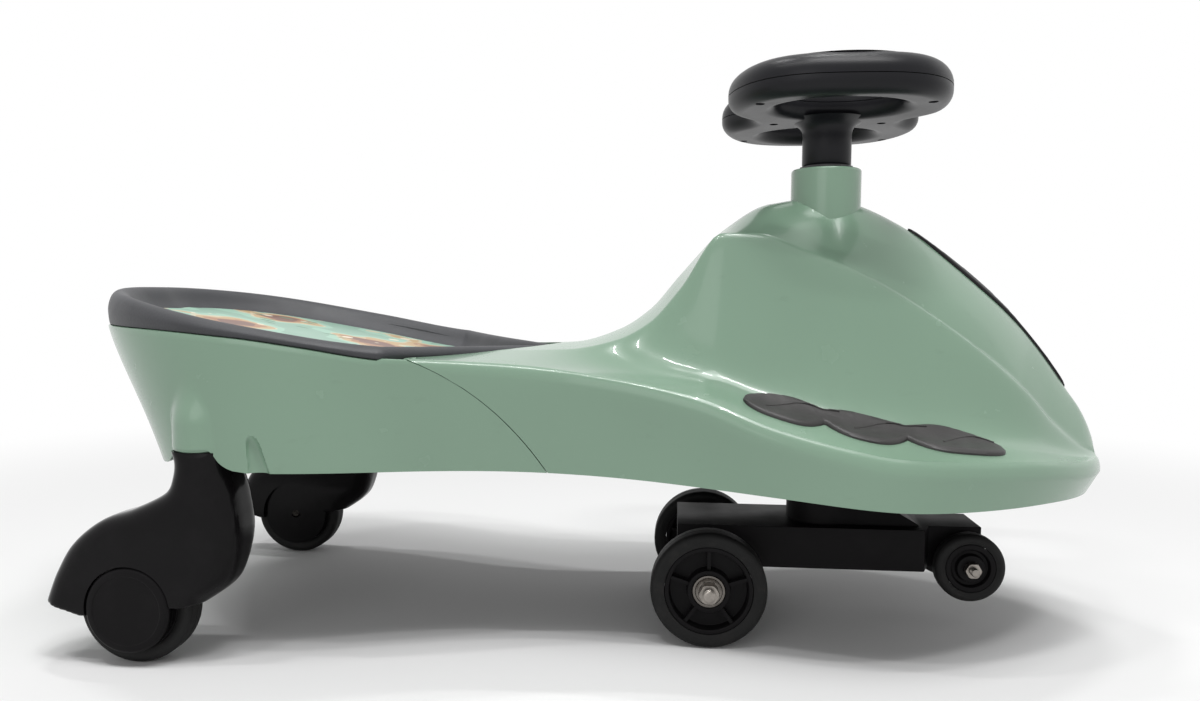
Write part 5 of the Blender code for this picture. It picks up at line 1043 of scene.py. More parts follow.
def front_sheet_rows(places):
    """Stations of the front shell's outer surface, from its crown to its lower edge."""
    rounding = sizes().shoulder_rounding
    spine_rear, spine_front = places[0], NOSE_X - 0.030
    crown = [sin(pi / 2 * k / 16) for k in range(16)]
    scoop = [mix(k / 30, (k / 30) ** 1.6, 0.5) for k in range(31)]
    rows = []
    for x in places:
        share = (x - spine_rear) / (NOSE_X - spine_rear)
        spine_x = mix(spine_rear, spine_front, share)
        shoulder_x, shoulder_y = wall_point(x, 0.35 * rounding)
        ridge = ridge_half_width(x) / max(half_width(x), 1e-6)
        row = []
        for s in [ridge * c for c in crown] + [mix(ridge, 1.0, s) for s in scoop]:
            px, py = mix(spine_x, shoulder_x, s), shoulder_y * s
            row.append((px, py, top_height(px, py) - crease_depth(px, py)))
        for k in range(1, 7):
            angle = pi / 2 * k / 6
            inset = 0.35 * rounding * (1 - sin(angle))
            row.append((*wall_point(x, inset), SHOULDER(x) - rounding * (1 - cos(angle))))
        widest, foot = row[-1], side_foot(x)
        row += [tuple(mix(a, b, k / 8) for a, b in zip(widest, foot)) for k in range(1, 9)]
        rows.append(row)
    return rows


def make_front_body():
    """The hood, leg scoops and foot rests as one smooth moulding, with the collar on top."""
    places = [x for x in places_along(FRONT_WIDE_X, NOSE_X, 24, 96, 40) if x > SEAT_TURN_X - 0.030]
    sheet = mirrored_sheet(front_sheet_rows(places))
    trim(sheet, outside_outline(seat_outline(SKIN_GAP)))
    trim(sheet, lambda point: ahead_of_seam(point) - SKIN_GAP / 2)
    shell = thickened("front_body", sheet)
    profile = rectangle(COLLAR_BORE, COLLAR_RADIUS, COLLAR_TOP - COLLAR_DEPTH, COLLAR_TOP)
    joined(shell, turned("collar", rounded(profile, 0.0022, 5), 96, "Z", (COLUMN_X, 0, 0)))
    return dress(soft_shading(shell, 32), "sage_gloss", "body", ["front_shell"])


# Heights and radii of the flared opening under a caster socket
ARCH_FLARE = list(zip(*smooth_line([
    (LOWER_EDGE_REAR - KEEL_DROP, SOCKET_CLEARANCE), (LOWER_EDGE_REAR - 0.001, SOCKET_CLEARANCE),
    (LOWER_EDGE_REAR + 0.0006, 0.0335), (LOWER_EDGE_REAR + 0.0030, 0.0275),
    (LOWER_EDGE_REAR + 0.0075, 0.0228), (SOCKET_BOTTOM, 0.0205),
], 6)))
SOCKET_TOP = basin_floor(CASTER_X) - TRAY_WALL - 0.0045


def scallop_depth(x, z):
    """How far the screw scallop sinks into the rear shell's side at a place."""
    down = (SCALLOP_TOP - z) / (SCALLOP_TOP - LOWER_EDGE_REAR)
    if down <= 0:
        return 0.0
    across = (x - mix(*SCALLOP_MIDDLE, down)) / mix(*SCALLOP_HALF_WIDTH, down)
    over = max(1 - down / 0.28, 0.0)
    return SCALLOP_DEPTH * max(1 - across**2 - over**2, 0.0) ** 0.6


def socket_radius(z):
    """Outer radius of a caster socket, which narrows upwards."""
    share = (z - SOCKET_BOTTOM) / (SOCKET_TOP - SOCKET_BOTTOM)
    return SOCKET_RADIUS - SOCKET_TAPER * ease((share - 0.25) / 0.5)


def over_socket(x, y, z):
    """The body's side at a place, swollen softly where a caster socket stands in it."""
    reach = socket_radius(z) ** 2 - (x - CASTER_X) ** 2
    bulge = CASTER_TRACK_HALF + copysign(sqrt(abs(reach)), reach) + SOCKET_SKIN
    share = min(max(0.5 + 0.5 * (bulge - y) / SOCKET_BLEND, 0.0), 1.0)
    return mix(y, bulge, share) + SOCKET_BLEND * share * (1 - share)


def rear_sheet_rows(places):
    """Stations of the rear shell's outer surface, from the ledge under the seat to its lower edge."""
    start, dense = 0.016, 0.636
    shares = [start + (dense - start) * k / 18 for k in range(18)]
    shares += [dense + (1 - dense) * k / 24 for k in range(25)]
    rows = []
    for x in places:
        foot = side_foot(x)
        top_z = RIM_FOOT(x) if x < SEAT_TURN_X else SHOULDER(x)
        ledge_x, ledge_y = seat_inward(min(x, SEAT_TURN_X), LEDGE_WIDTH)
        top = wall_point(x, 0.0)
        row = [(ledge_x, ledge_y, RIM_FOOT(ledge_x)), (*wall_point(x, 0.0012), top_z)]
        row.append((*wall_point(x, 0.0004), top_z - 0.0004))
        inward = plan_normal(half_width, x)
        for share in shares:
            slack = share**1.25
            z = mix(top_z, foot[2], share)
            sink = scallop_depth(x, z)
            px, py = mix(top[0], foot[0], slack), mix(top[1], foot[1], slack)
            if abs(px - CASTER_X) < 0.03 and share > 0.1:
                py = over_socket(px, py, z)
            row.append((px - sink * inward.x, max(py - sink * inward.y, 0.0), z))
        rows.append(row)
    return rows


def outside_arch(point):
    """How far a point lies outside the flared opening under a caster socket."""
    reach = hypot(point.x - CASTER_X, abs(point.y) - CASTER_TRACK_HALF)
    return max(reach - float(np.interp(point.z, *ARCH_FLARE)), point.z - SOCKET_BOTTOM)


def make_rear_body():
    """The side walls behind the seam with the tail, the scallops and the caster sockets."""
    places = {x for x in places_along(FRONT_WIDE_X, NOSE_X, 40, 110, 30) if x < WAIST_X + 0.03}
    places |= {-0.2150 + 0.0006 * k for k in range(36)}
    places |= {CASTER_X - 0.027 + 0.0012 * k for k in range(46)}
    sheet = mirrored_sheet(rear_sheet_rows(sorted(places)))
    trim(sheet, lambda point: -SKIN_GAP / 2 - ahead_of_seam(point))
    trim(sheet, outside_arch)
    shell = thickened("rear_body", sheet)
    lip = SOCKET_BOTTOM - 0.0024
    socket = [
        (SOCKET_BORE, SOCKET_BOTTOM), (SOCKET_RADIUS - 0.0022, SOCKET_BOTTOM), (SOCKET_RADIUS - 0.0022, lip),
        (SOCKET_RADIUS - 0.0006, lip), (SOCKET_RADIUS, lip + 0.0006),
    ]
    levels = [mix(SOCKET_BOTTOM, SOCKET_TOP, k / 24) for k in range(25)]
    socket += [(socket_radius(level), level) for level in levels] + [(SOCKET_BORE, SOCKET_TOP)]
    for side in (1, -1):
        joined(shell, turned("socket", socket, 72, "Z", (CASTER_X, side * CASTER_TRACK_HALF, 0)))
    return dress(soft_shading(shell, 30), "sage_gloss", "body", ["rear_shell"])


def make_seat_tray():
    """The seat tray: a fat rounded lip that rolls over the body and falls to a sunk floor."""

    def station(x, *controls):
        """Points across the seat, from (distance from its edge, height there, lift over it)."""
        made = []
        for distance, height, lift in controls:
            px, py = seat_inward(x, distance)
            made.append((px, py, height(px) + lift))
        return made

    rows = []
    for x in places_along(SEAT_TURN_X, SEAT_FRONT_X, 36, 40, 44):
        _, spine_x, _ = seat_station(x)
        width, ledge = rim_width(x), ledge_width(x)
        rise = RIM_CREST(x) - RIM_FOOT(x)
        lip = station(
            x, (width * 1.25, basin_floor, 0.0), (width, basin_floor, 0.0006),
            (width * 0.72, RIM_CREST, -0.62 * BASIN_DEPTH), (width * 0.50, RIM_CREST, -0.14 * BASIN_DEPTH),
            (width * 0.30, RIM_CREST, 0.0), (width * 0.12, RIM_CREST, -0.13 * rise),
            (width * 0.015, RIM_FOOT, 0.55 * rise), (0.0004, RIM_FOOT, 0.25 * rise),
            (0.0012, RIM_FOOT, 2 * SEAT_GAP),
        )
        under = station(
            x, (ledge + 0.0020, RIM_FOOT, 2 * SEAT_GAP),
            (ledge + 0.0040, lambda px: min(basin_floor(px) - TRAY_WALL, RIM_FOOT(px) - 0.001), 0.0),
        )
        floor = basin_floor(spine_x)
        row = [(spine_x, 0.0, floor), *smooth_line(lip, 5), *under, (spine_x, 0.0, floor - TRAY_WALL)]
        rows.append([(px, max(py, 0.0), pz) for px, py, pz in row])
    tray = from_bmesh("seat_tray", welded(mirrored_sheet(rows)))
    return dress(soft_shading(tray, 50), "tray_grain", "body", ["seat_rim"])


def make_seat_inset():
    """The printed panel on the tray's floor, with a softened edge."""
    low = 2 * SEAT_GAP
    rows = []
    for x in places_along(SEAT_TURN_X, SEAT_FRONT_X, 30, 24, 30):
        edge, spine_x, run = seat_station(x)
        start = rim_width(x) + 0.0009
        row = [(spine_x, 0.0, basin_floor(spine_x) + low + PANEL_THICKNESS)]
        for distance, lift in ((run * 0.5, 1.0), (start + 0.0018, 1.0), (start + 0.0009, 0.85),
                               (start + 0.0006, 0.5), (start + 0.0006, 0.0)):
            share = min(distance / run, 0.97)
            px, py = mix(edge[0], spine_x, share), mix(edge[1], 0.0, share)
            row.append((px, py, basin_floor(px) + low + PANEL_THICKNESS * lift))
        rows.append(row + [(spine_x, 0.0, basin_floor(spine_x) + low)])
    panel = from_bmesh("seat_inset", welded(mirrored_sheet(rows)))
    return dress(soft_shading(panel, 40), "seat_print", "body", ["seat_panel"])


def skin_finder(shell):
    """A call that gives points over the front body at a place in plan."""
    surface = bmesh.new()
    surface.from_mesh(shell.data)
    faces = BVHTree.FromBMesh(surface)
    surface.free()

    def find(x, y, *rises):
        """The point at each of these rises over the skin, measured along its normal."""
        place, normal, *_ = faces.ray_cast(Vector((x, y, COLLAR_TOP + 0.1)), Vector((0, 0, -1)))
        return [(x, y, place.z + rise / max(normal.z, 0.35)) for rise in rises]

    return find


def skin_plate(name, find, rows, thickness):
    """A thin plate that lies on the front body, domed at its edges, from rows of plan points."""
    last_i, last_j = len(rows) - 1, len(rows[0]) - 1
    bm = bmesh.new()
    upper, lower = [], []
    for i, row in enumerate(rows):
        ends = []
        for j, (x, y) in enumerate(row):
            rim = min(min(j, last_j - j) / (0.22 * last_j), min(i, last_i - i) / (0.06 * last_i), 1.0)
            rise = SKIN_GAP + thickness * (0.25 + 0.75 * sqrt(1 - (1 - rim) ** 2))
            ends.append([bm.verts.new(point) for point in find(x, y, rise, 0.3 * SKIN_GAP)])
        upper.append([above for above, _ in ends])
        lower.append([below for _, below in ends])
    fill_grid(bm, upper)
    fill_grid(bm, lower, True)
    borders = []
    for grid in (upper, lower):
        sides = [row[0] for row in grid[:-1]] + grid[-1][:-1]
        sides += [row[-1] for row in grid[:0:-1]] + grid[0][:0:-1]
        borders.append(sides + sides[:1])
    fill_grid(bm, borders)
    return from_bmesh(name, welded(bm))


def pad_edges(t):
    """A foot pad's inner and outer edge in plan at a share of its length."""
    x = mix(PAD_REAR_X, PAD_FRONT_X, t)
    centre = PAD_CENTRE_SHARE * mix(half_width(x), FRONT_HALF_WIDTH, 0.5)
    end = 0.06 if t in (0.0, 1.0) else max(1 - abs(2 * t - 1) ** 6, 0.0) ** 0.5
    turn = pi * float(np.interp(t, (0, 0.31, 0.62, 1), (0, 1, 2, 3)))
    middle_lobe = pi / 2 <= turn <= (PAD_LOBES - 0.5) * pi
    lobe = 1 - (1 - abs(sin(turn))) ** 1.5 if middle_lobe else 1.0
    half = PAD_HALF_WIDTH * (1 + 0.16 * ease((t - 0.5) / 0.3))
    outer = half * (0.10 + 0.90 * lobe)
    inner = half * (0.62 + 0.24 * lobe)
    tip = half * 0.35 * (1 - end)
    return x, centre - inner * end + tip * 0.4, centre + outer * end + 0.0004


def make_foot_pads(find):
    """Both wavy foot pads, each with thin curved ribs on its three lobes."""
    tree = new_tree("Ribs Along Lines", [("Rib Radius", "Float")], ribs)
    values = {"Rib Radius": sizes().rib_radius, "Finish": finish_of("pad_vinyl")}
    thickness = sizes().pad_thickness
    for name, side in SIDES:
        rows = []
        for k in range(109):
            x, inner, outer = pad_edges(k / 108)
            rows.append([(x, side * mix(inner, outer, n / 18)) for n in range(19)])
        pad = skin_plate(f"foot_pad_{name}_skin", find, rows, thickness)
        line, edges = [], []
        for lobe in range(PAD_LOBES):
            edges += [(len(line) + n, len(line) + n + 1) for n in range(30)]
            for s in (n / 30 for n in range(31)):
                t = (lobe + mix(0.26, 1.12, s)) / PAD_LOBES
                x, inner, outer = pad_edges(min(t, 0.965))
                across = mix(0.60, 0.12, sin(pi / 2 * min(1.6 * s, 1.0)))
                line += find(x, side * mix(inner, outer, across), SKIN_GAP + thickness * 0.94)
        joined(pad, grown_by(f"foot_pad_{name}_ribs", tree, values, line, edges))
        dress(soft_shading(pad, 40), "pad_vinyl", "body", [f"foot_pad_{name}"])


def make_nose_strip(find):
    """The dark strip down the middle of the hood."""
    rows = []
    for k in range(71):
        t = k / 70
        x = mix(TRIM_REAR_X, TRIM_FRONT_X, t)
        half = 0.7 * TRIM_HALF_WIDTH * max(sin(pi * min(t * 1.15 + 0.08, 0.93)), 0.1)
        half *= 0.2 + 0.8 * min(min(t, 1 - t) / 0.03, 1.0) ** 0.5
        rows.append([(x, half * (n / 8 - 1)) for n in range(17)])
    strip = skin_plate("nose_strip", find, rows, sizes().trim_thickness)
    return dress(soft_shading(strip, 45), "trim_gloss", "body", ["nose_trim"])


def wheel_outline():
    """The steering wheel's plan outline: two lobes with a notch fore and aft."""
    outline = []
    for k in range(720):
        c, s = cos(2 * pi * k / 720), sin(2 * pi * k / 720)
        x = WHEEL_HALF_LENGTH * copysign(abs(c) ** (2 / WHEEL_SQUARENESS), c)
        y = WHEEL_HALF_WIDTH * copysign(abs(s) ** (2 / WHEEL_SQUARENESS), s)
        outline.append((x * (1 - WHEEL_NOTCH * exp(-((y / WHEEL_NOTCH_WIDTH) ** 2))), y))
    return outline


def even_loop(loop, count):
    """The same closed loop with its points evenly apart."""
    closed = np.array(loop + loop[:1])
    run = np.concatenate([[0], np.cumsum(np.hypot(*np.diff(closed, axis=0).T))])
    wanted = np.linspace(0, run[-1], count, endpoint=False)
    return list(zip(np.interp(wanted, run, closed[:, 0]), np.interp(wanted, run, closed[:, 1])))


def wheel_half(name, parting, face, rounding):
    """Half of the steering wheel, from its parting plane to its rolled outer face."""

    def at(level, verts):
        """Whether all of these lie at a height."""
        return all(abs(vert.co.z - level) < 1e-6 for vert in verts)

    loops = [even_loop(wheel_outline(), 200)]
    for side in (1, -1):
        angles = [2 * pi * k / 360 for k in range(360)]
        oval = [(GRIP_HALF_LENGTH * cos(a), side * GRIP_CENTRE + GRIP_HALF_WIDTH * sin(a)) for a in angles]
        loops.append(even_loop(oval, 90))
    bm = bmesh.new()
    edges = []
    for loop in loops:
        verts = [bm.verts.new((x, y, parting)) for x, y in loop]
        edges += [bm.edges.new(pair) for pair in zip(verts, verts[1:] + verts[:1])]
    bmesh.ops.triangle_fill(bm, edges=edges, use_beauty=True)
    made = bmesh.ops.extrude_face_region(bm, geom=list(bm.faces))
    moved = [item for item in made["geom"] if isinstance(item, bmesh.types.BMVert)]
    bmesh.ops.translate(bm, vec=(0, 0, face - parting), verts=moved)
    bmesh.ops.recalc_face_normals(bm, faces=bm.faces)
    rim = [
        edge for edge in bm.edges
        if at(face, edge.verts) and len(edge.link_faces) == 2 and edge.calc_face_angle() > 1.0
    ]
    bmesh.ops.bevel(bm, geom=rim, offset=rounding, segments=9, profile=0.5, affect="EDGES")
    flat = [polygon for polygon in bm.faces if at(face, polygon.verts)]
    bmesh.ops.inset_region(bm, faces=flat, thickness=0.0006, depth=0.0)
    for vert in bm.verts:
        if at(parting, [vert]):
            vert.co.z += copysign(PARTING_GAP, face - parting)
    return from_bmesh(name, welded(bm))


def make_steering_wheel():
    """Both halves of the steering wheel, the lower one with its sleeve and screw recesses."""
    s, under = sizes(), WHEEL_UNDERSIDE
    top = wheel_half("wheel_top_half", WHEEL_PARTING, WHEEL_TOP, s.wheel_top_rounding)
    bottom = wheel_half("wheel_bottom_half", WHEEL_PARTING - SEAT_GAP, under, s.wheel_under_rounding)
    places = [(end * x, y) for end in (1, -1) for x, y in WHEEL_SCREWS]
    for x, y in places:
        hole = rectangle(0, SCREW_RECESS_RADIUS, under - 0.004, under + 0.0045)
        combine(bottom, turned("recess", hole, 28, "Z", (x, y, 0)))
    flare = smooth_line([
        (SLEEVE_RADIUS, under - 0.012), (SLEEVE_RADIUS + 0.0004, under - 0.006),
        (SLEEVE_RADIUS + 0.30 * SLEEVE_FLARE, under - 0.0018), (SLEEVE_RADIUS + SLEEVE_FLARE, under + 0.0022),
    ], 5)
    profile = [
        (SLEEVE_BORE, SLEEVE_BOTTOM), (SLEEVE_RADIUS - 0.0012, SLEEVE_BOTTOM),
        (SLEEVE_RADIUS, SLEEVE_BOTTOM + 0.0012), *flare, (SLEEVE_BORE, under + 0.0040),
    ]
    joined(bottom, turned("sleeve", profile, 72, "Z"))
    for half, angle, node in ((top, 60, "steering_wheel_top"), (bottom, 50, "steering_wheel_bottom")):
        half.data.transform(Matrix.Translation((COLUMN_X, 0, 0)))
        dress(soft_shading(half, angle), "wheel_satin", "steering", [node])
    heads = [(COLUMN_X + x, y, under + 0.0040) for x, y in places]
    names = [f"wheel_screw_{end}_{side}" for end in ("front", "rear") for side in ("left", "right", "middle")]
    fit_screws("wheel_screws", cross_head_screw(*WHEEL_SCREW_HEAD), heads, "steering", names)


def make_truck():
    """The truck's moulding, a copy of its CAD node with rounded edges."""
    bm = bmesh.new()
    bm.from_mesh(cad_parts["truck_body"].data)
    bmesh.ops.remove_doubles(bm, verts=bm.verts, dist=1e-5)
    bmesh.ops.dissolve_limit(bm, angle_limit=radians(2), verts=bm.verts, edges=bm.edges)
    truck = from_bmesh("truck_moulding", bm)
    settle(modify(truck, "BEVEL", width=sizes().edge_softness, segments=3, limit_method="ANGLE",
                  angle_limit=radians(38)))
    dress(soft_shading(truck, 35), "truck_matt", "steering", ["truck_body"])


def moulded(name, profile, segments, centre):
    """A turned moulding with slightly rounded corners."""
    return soft_shading(turned(name, rounded(profile, MOULD_ROUNDING, 3), segments, "Y", centre), 35)


def fit_tyre(body, outer, inner):
    """A rubber tyre with round shoulders, a flat tread and a fine moulding line."""
    low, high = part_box(f"{body}_tyre")
    centre, half, soft = tuple((low + high) / 2), (high.y - low.y) / 2, sizes().tyre_rounding
    profile = [(inner, 0.001 - half), (inner + 0.0016, -half + 0.0004), (outer - soft, -half)]
    for k in range(1, 8):
        angle = pi / 2 * k / 7
        profile.append((outer - soft + soft * sin(angle), -half + soft - soft * cos(angle)))
    profile = with_mirror(profile + [(outer, -0.0004), (outer - 0.0002, -0.0002)])
    rubber = soft_shading(turned(f"{body}_rubber", profile, 112, "Y", centre), 40)
    dress(rubber, "tyre_rubber", body, [f"{body}_tyre"])
    return centre, half


def front_rim(name, centre):
    """A front wheel's rim: deep recesses crossed by thin spokes round the bearing hub."""
    half = RIM_HALF_WIDTH
    profile = rounded(with_mirror([
        (0.0113, -half), (0.0145, -half), (0.0150, -0.0015), (0.0265, -0.0015), (0.0272, 0.0012 - half),
        (0.0302, 0.0010 - half),
    ]), 0.0007, 3)
    rim = turned(name, profile, 96)
    thickness = sizes().spoke_thickness
    outline = rectangle(-thickness / 2, thickness / 2, *SPOKE_REACH)
    spoke = prism("spoke", outline, -half + 0.0022, half - 0.0022, "Y")
    tree = new_tree("Copies Round An Axle", [("Piece", "Object"), ("Count", "Int")], ring)
    values = {"Piece": spoke, "Count": sizes().spoke_count, "Finish": finish_of("rim_matt")}
    joined(rim, grown_by("spokes", tree, values))
    bpy.data.objects.remove(spoke)
    rim.data.transform(Matrix.Translation(centre))
    return soft_shading(rim, 35)


def ball_bearing(name, side, centre):
    """One ball bearing: outer ring, sunk shield and inner ring."""
    bore, radius, half = BEARING_BORE, BEARING_RADIUS, BEARING_HALF_WIDTH
    sunk = half - 0.0006
    profile = [
        (bore, -half), (bore, half), (0.0063, half), (0.0066, sunk), (0.0090, sunk), (0.0093, half),
        (radius, half), (radius, -half),
    ]
    bearing = turned(name, rounded(profile, 0.0004, 2), 72)
    if side < 0:
        bearing.data.transform(Matrix.Rotation(pi, 4, "Z"))
    bearing.data.transform(Matrix.Translation(centre))
    return soft_shading(bearing, 30)


def hex_nut(name, radius, bore, low, high):
    """A hexagon nut with its corners turned down."""
    outline = [(radius * cos(pi / 3 * k), radius * sin(pi / 3 * k)) for k in range(6)]
    nut = prism(name, outline, low, high, "Y")
    chamfer = 0.14 * (high - low) * 1.3
    shape = [
        (bore, low - 0.001), (bore, high + 0.001), (radius * 0.90, high + 0.0001),
        (radius * 1.05, high - chamfer), (radius * 1.05, low + chamfer), (radius * 0.90, low - 0.0001),
    ]
    combine(nut, turned("chamfer", shape, 48), "INTERSECT")
    return soft_shading(nut, 25)


def threaded_bar(name, radius, reach, thread_from, pitch):
    """An axle bar with a real thread at both ends."""
    end, place = [], thread_from
    while place < reach - pitch * 1.2:
        end += [(radius, place), (radius * 0.86, place + pitch / 2)]
        place += pitch
    end += [(radius, place), (radius * 0.80, reach), (0, reach)]
    profile = with_mirror([(r, -y) for r, y in end[::-1]])
    return soft_shading(turned(name, profile, 40), 25)


def fit_steel(piece, node):
    """Move a bar or a nut to the middle of its CAD node and finish it."""
    middle = middle_of(node)
    piece.data.transform(Matrix.Translation((middle.x, 0, middle.z)))
    dress(piece, "bolt_steel", "steering", [node])


def fit_nut(axle, side, radius, bore):
    """The nut on one end of an axle."""
    node = f"{axle}_axle_nut_{side}"
    low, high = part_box(node)
    fit_steel(hex_nut(f"{axle}_nut_{side}", radius, bore, low.y, high.y), node)


def fit_axle(axle, radius, thread_from, pitch):
    """The bar of an axle."""
    node = f"{axle}_axle"
    fit_steel(threaded_bar(f"{axle}_threaded_axle", radius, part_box(node)[1].y, thread_from, pitch), node)


def make_front_wheels():
    """Both road wheels with their bearings, and their axle."""
    for name, side in SIDES:
        body = f"front_wheel_{name}"
        centre, _ = fit_tyre(body, *FRONT_TYRE)
        dress(front_rim(f"{body}_spoked_rim", centre), "rim_matt", body, [f"{body}_rim"])
        for end, facing in (("outer", side), ("inner", -side)):
            node = f"{body}_bearing_{end}"
            bearing = ball_bearing(f"{body}_race_{end}", facing, middle_of(node))
            dress(bearing, "bearing_steel", body, [node])
        fit_nut("front", name, *FRONT_NUT)
    fit_axle("front", *FRONT_AXLE)


def make_rollers():
    """The raised rollers in front, and their axle."""
    for name, _ in SIDES:
        body = f"roller_{name}"
        centre, half = fit_tyre(body, *ROLLER_TYRE)
        profile = with_mirror([
            (0.0034, -half), (0.0095, -half), (0.0100, -0.0022), (0.0128, -0.0022),
            (0.0136, 0.0008 - half), (0.0172, 0.0008 - half),
        ])
        core = moulded(f"{body}_hub", profile, 80, centre)
        dress(core, "rim_matt", body, [f"{body}_core"])
        fit_nut("roller", name, *ROLLER_NUT)
    fit_axle("roller", *ROLLER_AXLE)


def hood_outline():
    """The caster hood's side outline, from its kingpin axis, and the same with its open side let down."""
    radius, neck_z = CASTER_WHEEL_RADIUS, STEM_TOP - 0.008
    neck = between(radius, neck_z)
    cover = [(-1.57, 0.09), (-1.36, 0.61), (-1.04, 1.10), (-0.54, 1.49)]
    points = [(a * radius - CASTER_TRAIL, radius + b * radius) for a, b in cover]
    points += [
        (-0.97 * CASTER_TRAIL, neck(0.675)), (-0.0225, neck(0.80)), (-0.0172, neck(0.92)), (-0.0160, neck_z),
        (-0.0160, STEM_TOP + 0.006), (0.0160, STEM_TOP + 0.006), (0.0172, neck_z), (0.0205, neck(0.90)),
        (0.0240, neck(0.76)), (0.0262, neck(0.50)), (0.0185, neck(0.20)), (0.0, neck(0.04)),
    ]
    upper = smooth_line(points, 5)
    tail = (-0.84 * radius - CASTER_TRAIL, 0.87 * radius)
    return upper + [tail], upper + [(0.004, -0.02), (points[0][0] - 0.006, -0.02)]


def cushion(name, limit, outline, half, roll):
    """A closed shape over a side outline, rolled over along a second outline that reaches past it."""
    step = CUSHION_STEP
    kept, inside = outside_outline(limit), outside_outline(outline)
    corners = np.array(limit)
    low, high = corners.min(axis=0) - step, corners.max(axis=0) + step
    count_x, count_z = (int((high[k] - low[k]) / step) + 1 for k in (0, 1))
    bm = bmesh.new()
    fill_grid(bm, [
        [bm.verts.new((low[0] + i * step, low[1] + j * step, 0)) for j in range(count_z)]
        for i in range(count_x)
    ])
    trim(bm, lambda point: -kept(point))
    for vert in bm.verts:
        depth = min(max(-inside(vert.co), 0.0) / roll, 1.0)
        vert.co.z = half(vert.co.y) - roll * (1 - sqrt(1 - (1 - depth) ** 2))
    made = bmesh.ops.extrude_face_region(bm, geom=list(bm.faces))
    for item in made["geom"]:
        if isinstance(item, bmesh.types.BMVert):
            item.co.z *= -1
    for vert in bm.verts:
        vert.co = (vert.co.x, vert.co.z, vert.co.y)
    return from_bmesh(name, welded(bm))


def make_caster_hood(name, side):
    """One caster hood: the stem melted into the wheel cover, then cut for the wheel and the cap."""

    def half_width_at(z):
        return mix(0.0176, HOOD_HALF_WIDTH, ease((z - 0.062) / 0.030))

    blank = cushion(f"caster_{name}_cover", *hood_outline(), half_width_at, HOOD_ROLL)
    joined(blank, turned("stem", rectangle(0, STEM_RADIUS, 0.070, STEM_TOP + 0.004), 72, "Z"))
    settle(modify(blank, "REMESH", mode="VOXEL", voxel_size=HOOD_VOXEL))
    neck = blank.vertex_groups.new(name="neck")
    for vert in blank.data.vertices:
        low, high = ease((vert.co.z - 0.070) / 0.020), ease((0.138 - vert.co.z) / 0.012)
        neck.add([vert.index], low * high, "REPLACE")
    for iterations, group in ((8, ""), (sizes().hood_blend, "neck")):
        modify(blank, "SMOOTH", factor=0.5, iterations=iterations, vertex_group=group)
    settle(blank)
    blank.vertex_groups.clear()
    combine(blank, prism("top_cut", rectangle(-0.03, 0.03, -0.03, 0.03), STEM_TOP, 0.2))
    axle = (-CASTER_TRAIL, 0, CASTER_WHEEL_RADIUS)
    well = rounded(rectangle(0, CASTER_WHEEL_RADIUS + 0.0035, -HOOD_GAP, HOOD_GAP), 0.002, 3)
    combine(blank, turned("wheel_well", well, 80, "Y", axle))
    cheek = HOOD_GAP + HOOD_CHEEK
    for sign in (1, -1):
        recess = rectangle(0, CAP_RECESS_RADIUS, *sorted((sign * cheek, sign * 0.03)))
        combine(blank, turned("cap_recess", recess, 96, "Y", axle))
        lug = rectangle(0.0045, 0.0283, *sorted((sign * HOOD_GAP, sign * (cheek - 0.0002))))
        joined(blank, turned("lug", lug, 64, "Y", axle))
    blank.data.transform(Matrix.Translation((CASTER_X, side * CASTER_TRACK_HALF, 0)))
    dress(soft_shading(blank, 34), "hood_gloss", f"caster_{name}", [f"caster_{name}_hood"])


def make_casters():
    """Both rear casters: hood, cap, wheel core and tyre."""
    for name, side in SIDES:
        make_caster_hood(name, side)
        low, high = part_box(f"caster_{name}_cap")
        inner, outer = (low.y, high.y) if side > 0 else (high.y, low.y)
        radius, step = (high.x - low.x) / 2, side * 0.0010
        sunk = outer - 0.35 * step
        profile = [
            (0, inner), (radius, inner), (radius, outer - 1.6 * step), (radius - 0.0016, sunk),
            (radius - 0.0050, outer), (radius - 0.0056, sunk), (0, sunk),
        ]
        centre = ((low.x + high.x) / 2, 0, (low.z + high.z) / 2)
        cap = moulded(f"caster_{name}_hub_cap", profile, 96, centre)
        dress(cap, "cap_matt", f"caster_{name}", [f"caster_{name}_cap"])
        body = f"caster_wheel_{name}"
        centre, half = fit_tyre(body, *CASTER_TYRE)
        core = moulded(f"{body}_hub", rectangle(0.0044, 0.0287, 0.001 - half, half - 0.001), 72, centre)
        dress(core, "rim_matt", body, [f"{body}_core"])


def make_pan_screws():
    """The four screws that hold the belly pans."""
    names = [f"{end}_pan_screw_{side}" for end in ("front", "rear") for side, _ in SIDES]
    points = []
    for name in names:
        middle = middle_of(name)
        points.append((middle.x, middle.y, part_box(name)[0].z + 0.0022))
    fit_screws("pan_screws", cross_head_screw(*PAN_SCREW_HEAD), points, "body", names)


def repaint_carried_nodes():
    """Materials for the CAD nodes that keep their own shape."""
    for name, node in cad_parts.items():
        if "bush" in name:
            paint(node.data, "bush_nylon")
        elif "pan" in name and "screw" not in name:
            paint(node.data, "pan_matt")
        elif name == "steering_column":
            paint(node.data, "column_steel")
        elif "pin" in name:
            paint(node.data, "bolt_steel")
        elif name.endswith("_axle"):
            paint(node.data, "black_steel")


def seen_directly(tree):
    """One where the camera sees a point itself, in a reflection or through glass."""
    path = tree.nodes.new("ShaderNodeLightPath").outputs
    seen = path["Is Camera Ray"]
    for label in ("Is Glossy Ray", "Is Transmission Ray"):
        seen = out(tree, "ShaderNodeMath", "Value", {0: seen, 1: path[label]}, operation="MAXIMUM")
    return seen


